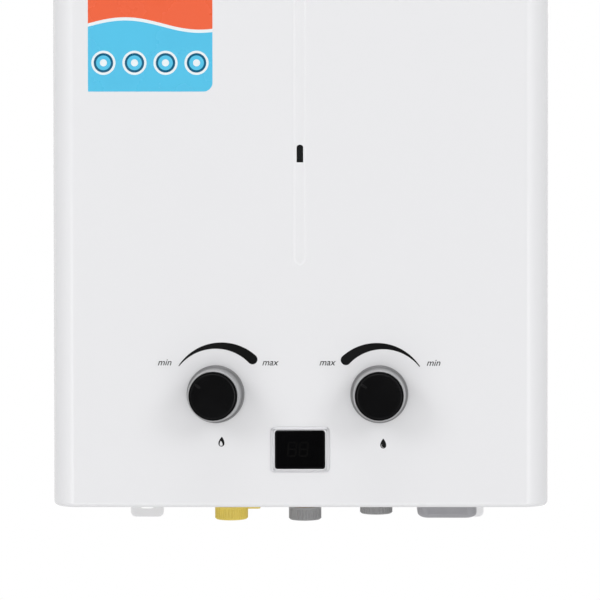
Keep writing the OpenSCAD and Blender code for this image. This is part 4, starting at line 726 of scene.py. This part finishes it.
def inkDisc(radius, x, z, thick):
    return disc(radius, thick, (x, faceY, baseZ + z), towardsFront, sides=180)


def inkOut(s):  # how far the middle of the ink lies from where it is drawn
    return (s["sunk"] - s["thick"]) / 2


def taperingScale(s, one):
    x, z, radius = one["outer"]
    arcPiece = inkDisc(radius, x, z, s["thick"] + s["sunk"])
    place(arcPiece, (0, inkOut(s), 0))
    innerX, innerZ, innerRadius = one["inner"]
    combine(arcPiece, inkDisc(innerRadius, innerX, innerZ, s["cutter"]))
    centre = Vector((x, faceY, baseZ + z))
    for angle, way in ((s["fine"], -1), (s["blunt"], 1)):  # cut at the fine end, then at the blunt one
        turn = math.radians(angle)
        beyond = Vector((one["side"] * way * math.sin(turn), 0, -way * math.cos(turn)))
        editAll(arcPiece)
        bpy.ops.mesh.bisect(plane_co=centre, plane_no=beyond, use_fill=True, clear_outer=True)
        endEdit()
    outward = Vector((one["side"] * math.cos(turn), math.sin(turn)))
    shift = Vector((x - innerX, z - innerZ))
    along = shift.dot(outward)
    # how far out the blunt cut meets the inner ring
    inner = math.sqrt(along ** 2 - shift.length_squared + innerRadius ** 2) - along
    middle = Vector((x, z)) + outward * (radius + inner) / 2
    tip = inkDisc((radius - inner) / 2, middle.x, middle.y, s["thick"] + s["sunk"])
    combine(arcPiece, place(tip, (0, inkOut(s), 0)), "UNION")
    return arcPiece


def word(s, text, x, z):
    deselectAll()
    bpy.ops.object.text_add()
    letters = bpy.context.object
    letters.data.body = text
    letters.data.size = s["wordSize"]
    letters.data.shear = s["wordLean"]
    letters.data.align_x = "CENTER"
    letters.data.extrude = (s["thick"] + s["sunk"]) / 2
    letters.data.offset = s["wordWeight"]
    bpy.ops.object.convert(target="MESH")
    letters = bpy.context.object
    place(letters, (x, faceY + inkOut(s), baseZ + z - s["wordDrop"]), towardsFront)
    mergeDoubles(letters)
    return letters


def teardrop(wide, high, lean, thick):  # a disc drawn out to a tip
    blob = disc(wide / 2, thick, (0, wide / 2, 0), sides=64)
    pick(blob, "VERT", lambda co: co.y > wide - tiny)
    bpy.ops.transform.translate(value=(lean, high - wide, 0), use_proportional_edit=True,
                                proportional_edit_falloff="SHARP", proportional_size=wide * 0.95)
    endEdit()
    return blob


def sign(s, spot, flame):
    thick = s["thick"] + s["sunk"]
    high = s["signHigh"]
    mark = teardrop(high * s["signWide"], high, high * s["flameLean"] if flame else 0, thick)
    if flame:
        heart = teardrop(*[high * share for share in s["heart"]], s["cutter"])
        x, y = s["heartAt"]
        combine(mark, place(heart, (high * x, high * y, 0)))
    else:
        glint = disc(high * s["glint"], s["cutter"], (0, high * s["glintUp"], 0), sides=48)
        x, y = s["glintCutAt"]
        combine(glint, disc(high * s["glintCut"], 2 * s["cutter"], (high * x, high * y, 0), sides=48))
        combine(mark, glint)
    return place(mark, (spot[0], faceY + inkOut(s), baseZ + spot[1] - high / 2), towardsFront)


def buildInk(s):
    marks = [taperingScale(s, one) for one in s["scales"]] + [word(s, *entry) for entry in s["words"]]
    marks += [sign(s, s["flame"], True), sign(s, s["drop"], False)]
    printed = joinAll(marks)
    polish(printed, 20)
    return printed


fit(buildInk(ink), "panelPrint", "casing", "knob_black", finish=makeFinish("printInk", {
    "colour": (0.0044, 0.0044, 0.0047), "second": (0.0036, 0.0036, 0.0040), "drift": 80,
    "rough": (0.3, 0.38), "skin": 3000, "relief": 0.02, "ior": 1.4}))
print("panel printed")


# Loose film label with a plain pattern of its own

label = {
    "left": -0.1439, "right": -0.0593, "low": 0.2832, "high": 0.4060, "thick": 0.0001, "corner": 0.0062,
    "edge": 0.00003, "waves": 62, "swell": 0.0042, "ringPitch": 0.02108, "ringUp": 0.0195,
    "bands": ((0.0440, "pale"), (0.0462, "orange"), (0.0850, "teal")),
    "rings": ((0.0082, "pale"), (0.0066, "teal"), (0.0050, "blue"), (0.0024, "pale")),
    "tints": {"blue": (0.092, 0.540, 0.800), "orange": (0.845, 0.128, 0.049), "teal": (0.0040, 0.107, 0.205),
              "pale": (0.80, 0.86, 0.88)},
}


def buildLabel(s):
    film = flatPlate(s["right"] - s["left"], s["high"] - s["low"])
    bevelCorners(film, lambda co: co.x > 0 and co.y < 0, s["corner"], 10)
    editAll(film)
    bpy.ops.mesh.extrude_region_move(TRANSFORM_OT_translate={"value": (0, 0, s["thick"])})
    bpy.ops.mesh.select_all(action="SELECT")
    bpy.ops.mesh.normals_make_consistent(inside=False)
    endEdit()
    bevelEdges(film, lambda a, b: min(a.z, b.z) > s["thick"] - tiny / 10, s["edge"], 1)
    middle = baseZ + (s["low"] + s["high"]) / 2
    place(film, ((s["left"] + s["right"]) / 2, faceY, middle), towardsFront)
    polish(film, 40)
    return film


def mathNode(tree, operation, first, second):
    node = addNode(tree, "Math", operation=operation)
    for socket, value in zip(node.inputs, (first, second)):
        if isinstance(value, (int, float)):
            socket.default_value = value
        else:
            tree.links.new(value, socket)
    return node.outputs["Value"]


def mixNode(tree, factor, first, second):
    node = addNode(tree, "Mix", data_type="RGBA")
    tree.links.new(factor, node.inputs["Factor"])
    for socket, value in (("A", first), ("B", second)):
        if isinstance(value, tuple):
            node.inputs[socket].default_value = (*value, 1)
        else:
            tree.links.new(value, node.inputs[socket])
    return node.outputs["Result"]


def labelFinish(s):  # rolling bands above a row of rings on a blue field
    tints = s["tints"]
    material = makeFinish("labelFilm", {
        "colour": tints["blue"], "second": (0.087, 0.525, 0.785), "drift": 40, "rough": (0.24, 0.3),
        "relief": 0.006, "skin": 150, "coat": 0.2})
    tree = material.node_tree
    shader = tree.nodes["Principled BSDF"]
    tint = shader.inputs["Base Color"].links[0].from_socket
    coords = addNode(tree, "TexCoord")
    shift = addNode(tree, "Mapping")
    setInput(shift, "Location", (-s["left"], 0, -(baseZ + s["low"])))
    parts = addNode(tree, "SeparateXYZ")
    link(tree, coords, "Object", shift, "Vector")
    link(tree, shift, "Vector", parts, "Vector")
    x, z = parts.outputs["X"], parts.outputs["Z"]
    wave = mathNode(tree, "SINE", mathNode(tree, "MULTIPLY", x, s["waves"]), 0)
    height = mathNode(tree, "SUBTRACT", z, mathNode(tree, "MULTIPLY", wave, s["swell"]))
    for low, name in s["bands"]:
        tint = mixNode(tree, mathNode(tree, "GREATER_THAN", height, low), tint, tints[name])
    pitch = s["ringPitch"]
    cell = mathNode(tree, "SUBTRACT", mathNode(tree, "FRACT", mathNode(tree, "DIVIDE", x, pitch), 0), 0.5)
    sideways = mathNode(tree, "MULTIPLY", cell, pitch)
    upward = mathNode(tree, "SUBTRACT", z, s["ringUp"])
    squares = [mathNode(tree, "MULTIPLY", way, way) for way in (sideways, upward)]
    away = mathNode(tree, "SQRT", mathNode(tree, "ADD", *squares), 0)
    for radius, name in s["rings"]:
        tint = mixNode(tree, mathNode(tree, "LESS_THAN", away, radius), tint, tints[name])
    tree.links.new(tint, shader.inputs["Base Color"])
    return material


fit(buildLabel(label), "filmLabel", "casing", "enamel_white", finish=labelFinish(label))
print("label laid")


# Transit caps over the pipe ends: ribbed cups with a pull tab

cap = {
    "wall": 0.01134, "bore": 0.01108, "rim": 0.01188, "floor": 0.0015, "length": 0.0096, "rimHigh": 0.0016,
    "foot": 0.001, "ribs": 36, "ribWide": 0.0011, "ribHigh": 0.00044, "tab": (0.0095, 0.007, 0.0021),
    "soft": 0.0003, "ease": 0.0002, "overlap": 0.0001,
    "places": {
        "gas": {"at": (-0.0517, -0.068, -0.0160), "turn": 0, "slot": "cap_yellow"},
        "hot": {"at": (0, -0.043, -0.0193), "turn": 90, "slot": "cap_grey"},
        "cold": {"at": (0.0517, -0.043, -0.0149), "turn": 90, "slot": "cap_grey"},
    },
}


def capCup(s):
    wall, rim, length = s["wall"], s["rim"], s["length"]
    ledge = length - s["rimHigh"]
    soft, ease, bore = s["soft"], s["ease"], s["bore"]
    profile = [(0, 0)] + arc(wall - s["foot"], s["foot"], s["foot"], -90, 0, 7)
    profile += [(wall, ledge - soft), (rim - s["overlap"], ledge), (rim, ledge + ease)]
    profile += arc(rim - soft, length - soft, soft, 0, 90, 4)
    profile += [(bore + ease, length), (bore, length - ease), (bore, s["floor"]), (0, s["floor"])]
    return turned(profile, 108)


def capRibs(s):
    high = s["length"] - s["rimHigh"] - s["foot"] + 2 * s["overlap"]
    out = s["wall"] + s["ribHigh"] / 2 - s["overlap"]
    size = (s["ribHigh"] + 2 * s["overlap"], s["ribWide"], high)
    rib = box(size, (out, 0, s["foot"] + high / 2 - s["overlap"]))
    bare = s["wall"] + tiny
    bevelEdges(rib, lambda a, b: min(a.x, b.x) > bare and abs(a.z - b.z) > tiny, s["ribHigh"] * 0.8, 3)
    bevelEdges(rib, lambda a, b: max(a.z, b.z) < s["foot"] and min(a.x, b.x) > bare, s["ease"], 2)
    editAll(rib)
    bpy.ops.mesh.spin(steps=s["ribs"], angle=2 * math.pi, dupli=True, center=(0, 0, 0), axis=(0, 0, 1))
    endEdit()
    mergeDoubles(rib)
    return rib


def capTab(s):
    long, wide, thick = s["tab"]
    tab = roundedBlock(wide, long, thick, wide * 0.32, 6, onlyTop=True)
    bevelEdges(tab, lambda a, b: abs(a.z - b.z) < tiny and max(a.y, b.y) > tiny - long / 2, s["soft"], 2)
    place(tab, (0, 0, 0), (0, 0, -math.pi / 2))
    return place(tab, (s["wall"] - s["ease"] + long / 2, 0, s["length"] - thick))


def buildCaps(s):
    pattern = capCup(s)
    combine(pattern, capTab(s), "UNION")
    pattern = joinAll([pattern, capRibs(s)])
    for side, one in s["places"].items():
        x, y, low = one["at"]
        piece = place(copyOf(pattern), (x, y, baseZ + low), (0, 0, math.radians(one["turn"])))
        polish(piece, 30)
        fit(piece, side + "TransitCap", side + "_transit_cap", one["slot"], [side + "_cap"])
    bpy.data.objects.remove(pattern, do_unlink=True)


buildCaps(cap)
print("caps moulded")


# Pipe nipples: hexagon, neck and a rolled half-inch thread

nipple = {
    "threadRadius": 0.01048, "rootRadius": 0.00932, "pitch": 0.001814, "bore": 0.007, "neck": 0.00948,
    "flats": 0.027, "hexHigh": 0.0036, "hexEase": (0.0022, 0.0012), "floor": 0.0012, "top": 0.028,
    "boreEase": 0.0004, "endEase": 0.0006, "topEase": 0.0005, "flank": 0.48, "overlap": 0.0001,
    "places": {
        "gas": (-0.0517, -0.068, -0.0142),
        "hot": (0, -0.043, -0.0175),
        "cold": (0.0517, -0.043, -0.0131),
    },
}


def threadRidge(s, length):  # one closed ridge wound up the core
    turns = int(length / s["pitch"] - 0.7)
    deselectAll()
    bpy.ops.mesh.primitive_circle_add(vertices=3, radius=0.001, fill_type="NOTHING")
    ridge = bpy.context.object
    root, flank = s["rootRadius"] - 2 * s["overlap"], s["pitch"] * s["flank"]
    spots = [(root, -flank), (root, flank), (s["threadRadius"], 0)]
    for i, (r, z) in enumerate(spots):
        corner = ridge.data.vertices[i].co.copy()
        pick(ridge, "VERT", lambda co: (co - corner).length < tiny)
        bpy.ops.transform.translate(value=(r - corner.x, -corner.y, z - corner.z))
        endEdit()
    wind(ridge, s["pitch"], turns, 40, 4)
    return ridge


def buildNipple(s, end):
    shoulder = s["floor"] - s["hexHigh"]
    root, bore, neck = s["rootRadius"], s["bore"], s["neck"]
    top, seat = s["top"], shoulder + s["overlap"]
    boreEase, endEase, topEase = s["boreEase"], s["endEase"], s["topEase"]
    profile = [(bore, end + boreEase), (bore + boreEase, end), (root - endEase, end), (root, end + endEase)]
    profile += [(root, seat), (neck, seat), (neck, top - topEase), (neck - topEase, top), (bore, top)]
    profile += [(bore, end + boreEase)]
    body = turned(profile, 64)
    outer = s["flats"] / math.sqrt(3)
    hexagon = disc(outer, s["hexHigh"], (0, 0, shoulder + s["hexHigh"] / 2), (0, 0, math.pi / 6), sides=6)
    margin, through, wide = 0.001, 0.02, outer + 2 * s["overlap"]
    inward, upward = s["hexEase"]
    ease = turned([(0, shoulder - margin), (outer - inward, shoulder - margin), (wide, shoulder + upward),
                   (wide, s["floor"] + margin), (0, s["floor"] + margin)], 64)
    combine(hexagon, ease, "INTERSECT")
    combine(hexagon, disc(bore + margin, through, (0, 0, shoulder), sides=64))
    combine(body, hexagon, "UNION")
    length = shoulder - end
    ridge = threadRidge(s, length)
    return joinAll([body, place(ridge, (0, 0, end + s["pitch"] * 0.75))])


def buildNipples(s):
    for side, (x, y, end) in s["places"].items():
        piece = place(buildNipple(s, end), (x, y, baseZ))
        polish(piece, 32)
        fit(piece, side + "Nipple", "casing", "brass", [side + "_nipple"])


buildNipples(nipple)
print("nipples threaded")


# Battery lid: shallow hinged dish with finger grips

lid = {
    "at": (0.1014, -0.0705), "low": -0.0113, "size": (0.0414, 0.0752, 0.0102), "wall": 0.0018,
    "sideRound": 0.0078, "lowRound": (0.0072, 0.0037), "hinge": (-0.0296, -0.0041), "pinHole": 0.00135,
    "knuckle": 0.003, "knuckleLong": 0.0268, "knuckleSoft": 0.0002,
    "grips": 5, "gripStart": 0.0107, "gripPitch": 0.0032, "gripWide": 0.0014, "gripSoft": 0.0003,
    "gripOut": 0.0001,
}


def buildLid(s):
    wide, long, high = s["size"]
    x, y = s["at"]
    low = baseZ + s["low"]
    stretch = s["lowRound"][0] / s["lowRound"][1]  # the lower round is wider than it is high
    dish = box((wide, long, high * stretch), (x, y, high * stretch / 2))
    bevelEdges(dish, lambda a, b: abs(a.z - b.z) > tiny, s["sideRound"], 8)
    bevelEdges(dish, lambda a, b: max(a.z, b.z) < tiny, s["lowRound"][0], 8)
    dish.scale.z = 1 / stretch
    place(dish, (0, 0, low))
    pick(dish, "FACE", lambda c, n: n.z > 0.9)
    bpy.ops.mesh.delete(type="FACE")
    endEdit()
    applyModifier(dish, "SOLIDIFY", thickness=s["wall"], offset=-1, use_even_offset=True)
    hingeY, hingeZ = s["hinge"][0], baseZ + s["hinge"][1]
    barrel = disc(s["knuckle"], s["knuckleLong"], (x, hingeY, hingeZ), (0, math.pi / 2, 0), sides=40)
    bevelEdges(barrel, lambda a, b: abs(a.x - b.x) < tiny, s["knuckleSoft"], 2)
    rear = y + long / 2 - s["wall"]
    webZ = hingeZ - s["knuckle"] + s["wall"] / 2
    web = box((s["knuckleLong"], hingeY - rear, s["wall"]), (x, (hingeY + rear) / 2, webZ))
    combine(dish, barrel, "UNION")
    combine(dish, web, "UNION")
    combine(dish, disc(s["pinHole"], wide, (x, hingeY, hingeZ), (0, math.pi / 2, 0), sides=32))
    for i in range(s["grips"]):
        gripY = y - long / 2 + s["gripStart"] + i * s["gripPitch"]
        spot = (x, gripY, low - s["gripOut"])
        groove = disc(s["gripWide"] / 2, wide / 2, spot, (0, math.pi / 2, 0), sides=24)
        bevelEdges(groove, lambda a, b: abs(a.x - b.x) < tiny, s["gripSoft"], 2)
        combine(dish, groove)
    mergeDoubles(dish)
    polish(dish, 32)
    return dish


fit(buildLid(lid), "batteryLid", "lid", "box_grey", ["battery_lid"])
print("lid moulded")


# Flue collar: seamed tube with a turned foot, a stiffening bead and an eased mouth

collar = {"out": 0.066, "radius": 0.05475, "sheet": 0.001, "low": 0.520, "high": 0.632, "foot": 0.0025,
          "footSoft": 0.0008, "beadAt": 0.616, "bead": 0.0016, "beadOut": 0.0006}


def buildCollar(s):
    outer, inner = s["radius"], s["radius"] - s["sheet"]
    low, high, bead = s["low"], s["high"], s["bead"]
    swell = [(math.sin(math.radians(a)), math.cos(math.radians(a))) for a in range(0, 181, 20)]
    foot, raised, soft, out = outer + s["foot"], low + s["sheet"], s["footSoft"], s["beadOut"]
    lip = s["sheet"] / 2
    profile = [(inner, low), (foot, low), (foot, raised), (outer + soft, raised), (outer, raised + soft)]
    profile += [(outer - out + out * r, s["beadAt"] - bead * z) for r, z in swell]
    profile += arc(outer - lip, high - lip, lip, 0, 180, 6)
    profile += [(inner - out + out * r, s["beadAt"] + bead * z) for r, z in swell]
    profile += [(inner, low)]
    tube = turned(profile, 128)
    place(tube, (0, -s["out"], baseZ))
    polish(tube, 30)
    return tube


fit(buildCollar(collar), "flueCollar", "casing", "galvanised", ["flue_collar"])
print("collar rolled")


# Case screws: pan heads with a cross recess

screw = {
    "headRadius": 0.00375, "headHigh": 0.0024, "headRound": 0.0016, "ease": 0.0002,
    "shank": 0.002, "point": 0.0006, "recess": (0.0046, 0.0011, 0.0012),
    "rows": [  # places, length of the shank, turn
        ([(-0.163, -0.090, 0), (0.163, -0.090, 0)], 0.006, (0, 0, math.pi / 7)),
        ([(0.07615, -0.0705, 0.0002), (0.12665, -0.0705, 0.0002)], 0.0058, (0, 0, math.pi / 7)),
        ([(x, -0.0016, 0.009) for x in (-0.075, 0, 0.075)], 0.0016, (-math.pi / 2, 0, 0)),
    ],
}


def screwShape(s, long):  # head downwards, shank upwards
    head, high = s["headRadius"], s["headHigh"]
    dome, ease, shank, point = s["headRound"], s["ease"], s["shank"], s["point"]
    profile = [(0, -high)] + arc(head - dome, dome - high, dome, -90, 0, 6)
    profile += [(head, -ease), (head - ease, 0)]
    profile += [(shank, 0), (shank, long - point), (shank - point, long), (0, long)]
    shape = turned(profile, 40)
    arm, slim, deep = s["recess"]
    for size in ((arm, slim, 2 * deep), (slim, arm, 2 * deep)):
        combine(shape, box(size, (0, 0, -high)))
    return shape


def buildScrews(s):
    parts = []
    for spots, long, turn in s["rows"]:
        for x, y, z in spots:
            parts.append(place(screwShape(s, long), (x, y, baseZ + z), turn))
    screws = joinAll(parts)
    polish(screws, 30)
    return screws


fit(buildScrews(screw), "caseScrews", "casing", "steel", ["case_screws"])
print("screws driven")


# Gas valve spring: one wound wire at rest, with a mesh of its own

spring = {"start": -0.0858, "long": 0.0353, "out": 0.068, "height": 0.0775, "coil": 0.0075, "wire": 0.0007,
          "turns": 6, "travel": 0.004}


def buildSpring(s):
    deselectAll()
    bpy.ops.mesh.primitive_circle_add(vertices=12, radius=s["wire"], fill_type="NOTHING",
                                      location=(s["coil"], 0, 0), rotation=(math.pi / 2, 0, 0))
    bpy.ops.object.transform_apply(location=True, rotation=True, scale=True)
    coil = bpy.context.object
    pitch = (s["long"] - 2 * s["wire"]) / s["turns"]
    wind(coil, pitch, s["turns"], 36, 12)
    place(coil, (s["start"] + s["wire"], -s["out"], baseZ + s["height"]), (0, math.pi / 2, 0))
    polish(coil, 40)
    return coil


gasSpring = fit(buildSpring(spring), "gasValveSpring", "casing", "steel", ["gas_valve_spring"])
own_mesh(gasSpring)
print("spring wound")


# Camera and studio

camera = {"place": (0.055, -1.558, -0.101), "lens": 125.21, "sensor": 36, "tilt": 1,
          "shift": (-0.1346, 0.0034)}
studio = {
    "keyPower": 9.35, "keySize": 0.9, "keyPlace": (1.35, -1.55, 0.75),
    "fillPower": 7.75, "fillSize": 1.6, "fillPlace": (0.8, -1.9, -0.75),
    "topPower": 7.5, "topSize": 1.2, "topPlace": (0, -0.5, 1.9),
    "backPower": 13, "backSize": 1.4, "backPlace": (0, 2.1, 0.9),
    "ambient": 0.48, "floorZ": -1.75, "floorRadius": 3.2, "floorThick": 0.02, "glowFrom": 0.5, "glowTo": 2.72,
    "cardSize": (1.5, 0.01, 1.5), "cardPlace": (0, -1.75, -0.25), "aim": (0, -0.07, -0.05),
}


def aimedLamp(name, power, size, location, target, glints=True):
    deselectAll()
    bpy.ops.object.light_add(type="AREA", location=location)
    lamp = bpy.context.object
    lamp.name = name
    lamp.data.shape = "SQUARE"
    lamp.data.size = size
    lamp.data.energy = power
    lamp.visible_camera = False
    lamp.visible_glossy = glints  # mirrored key lamps would clip the top of the casing
    lamp.rotation_euler = (Vector(target) - Vector(location)).to_track_quat("-Z", "Y").to_euler()


def showsBackdrop(tree):  # 1 for what the eye, metal and glass see directly
    path = addNode(tree, "LightPath")
    first = addNode(tree, "Math", operation="MAXIMUM")
    second = addNode(tree, "Math", operation="MAXIMUM")
    link(tree, path, "Is Camera Ray", first, 0)
    link(tree, path, "Is Glossy Ray", first, 1)
    link(tree, first, "Value", second, 0)
    link(tree, path, "Is Transmission Ray", second, 1)
    return second.outputs["Value"]


def buildWorld(s):
    world = bpy.data.worlds.new("studioWorld")
    bpy.context.scene.world = world
    world.use_nodes = True
    tree = world.node_tree
    soft = tree.nodes["Background"]
    setInput(soft, "Color", (1, 1, 1, 1))
    setInput(soft, "Strength", s["ambient"])
    white = addNode(tree, "Background")
    setInput(white, "Color", (1, 1, 1, 1))
    mix = addNode(tree, "MixShader")
    tree.links.new(showsBackdrop(tree), mix.inputs["Fac"])
    link(tree, soft, "Background", mix, 1)
    link(tree, white, "Background", mix, 2)
    tree.links.new(mix.outputs["Shader"], tree.nodes["World Output"].inputs["Surface"])


def buildFloor(s):
    thick = s["floorThick"]
    floor = disc(s["floorRadius"], thick, (0, 0, s["floorZ"] - thick / 2), sides=96)
    floor.name = "paleFloor"
    material = bpy.data.materials.new("paleFloor")
    material.use_nodes = True
    tree = material.node_tree
    shader = tree.nodes["Principled BSDF"]
    setInput(shader, "Base Color", (0.9, 0.9, 0.9, 1))
    setInput(shader, "Roughness", 0.8)
    glow = addNode(tree, "Emission")
    coords = addNode(tree, "TexCoord")
    away = addNode(tree, "VectorMath", operation="MULTIPLY")
    away.inputs[1].default_value = (1, 1, 0)
    far = addNode(tree, "VectorMath", operation="LENGTH")
    fade = addNode(tree, "MapRange", interpolation_type="SMOOTHSTEP")
    setInput(fade, "From Min", s["glowFrom"])
    setInput(fade, "From Max", s["glowTo"])
    both = addNode(tree, "Math", operation="MULTIPLY")
    mix = addNode(tree, "MixShader")
    link(tree, coords, "Object", away, 0)
    link(tree, away, "Vector", far, 0)
    link(tree, far, "Value", fade, "Value")
    link(tree, fade, "Result", both, 0)
    tree.links.new(showsBackdrop(tree), both.inputs[1])
    link(tree, both, "Value", mix, "Fac")
    link(tree, shader, "BSDF", mix, 1)
    link(tree, glow, "Emission", mix, 2)
    tree.links.new(mix.outputs["Shader"], tree.nodes["Material Output"].inputs["Surface"])
    floor.data.materials.append(material)


def buildDarkCard(s):  # stands behind the camera, so that flat gloss towards it stays dark
    card = box(s["cardSize"], s["cardPlace"])
    card.name = "darkCard"
    material = bpy.data.materials.new("darkCard")
    material.use_nodes = True
    shader = material.node_tree.nodes["Principled BSDF"]
    setInput(shader, "Base Color", (0.01, 0.01, 0.01, 1))
    setInput(shader, "Roughness", 1)
    card.data.materials.append(material)
    card.visible_camera = False
    card.visible_diffuse = False
    card.visible_shadow = False


def buildStudio(s, c):
    buildWorld(s)
    buildFloor(s)
    buildDarkCard(s)
    for side, sign in (("Left", -1), ("Right", 1)):
        for kind in ("key", "fill"):
            x, y, z = s[kind + "Place"]
            aimedLamp(kind + side, s[kind + "Power"], s[kind + "Size"], (sign * x, y, z), s["aim"],
                      glints=kind == "fill")
    for name, kind in (("overhead", "top"), ("behind", "back")):
        aimedLamp(name, s[kind + "Power"], s[kind + "Size"], s[kind + "Place"], s["aim"])
    level = math.pi / 2
    bpy.ops.object.camera_add(location=c["place"], rotation=(level - math.radians(c["tilt"]), 0, 0))
    eye = bpy.context.object
    eye.data.lens = c["lens"]
    eye.data.sensor_width = c["sensor"]
    eye.data.shift_x, eye.data.shift_y = c["shift"]
    bpy.context.scene.camera = eye
    bpy.context.scene.view_settings.view_transform = "Standard"


buildStudio(studio, camera)
print("studio set")
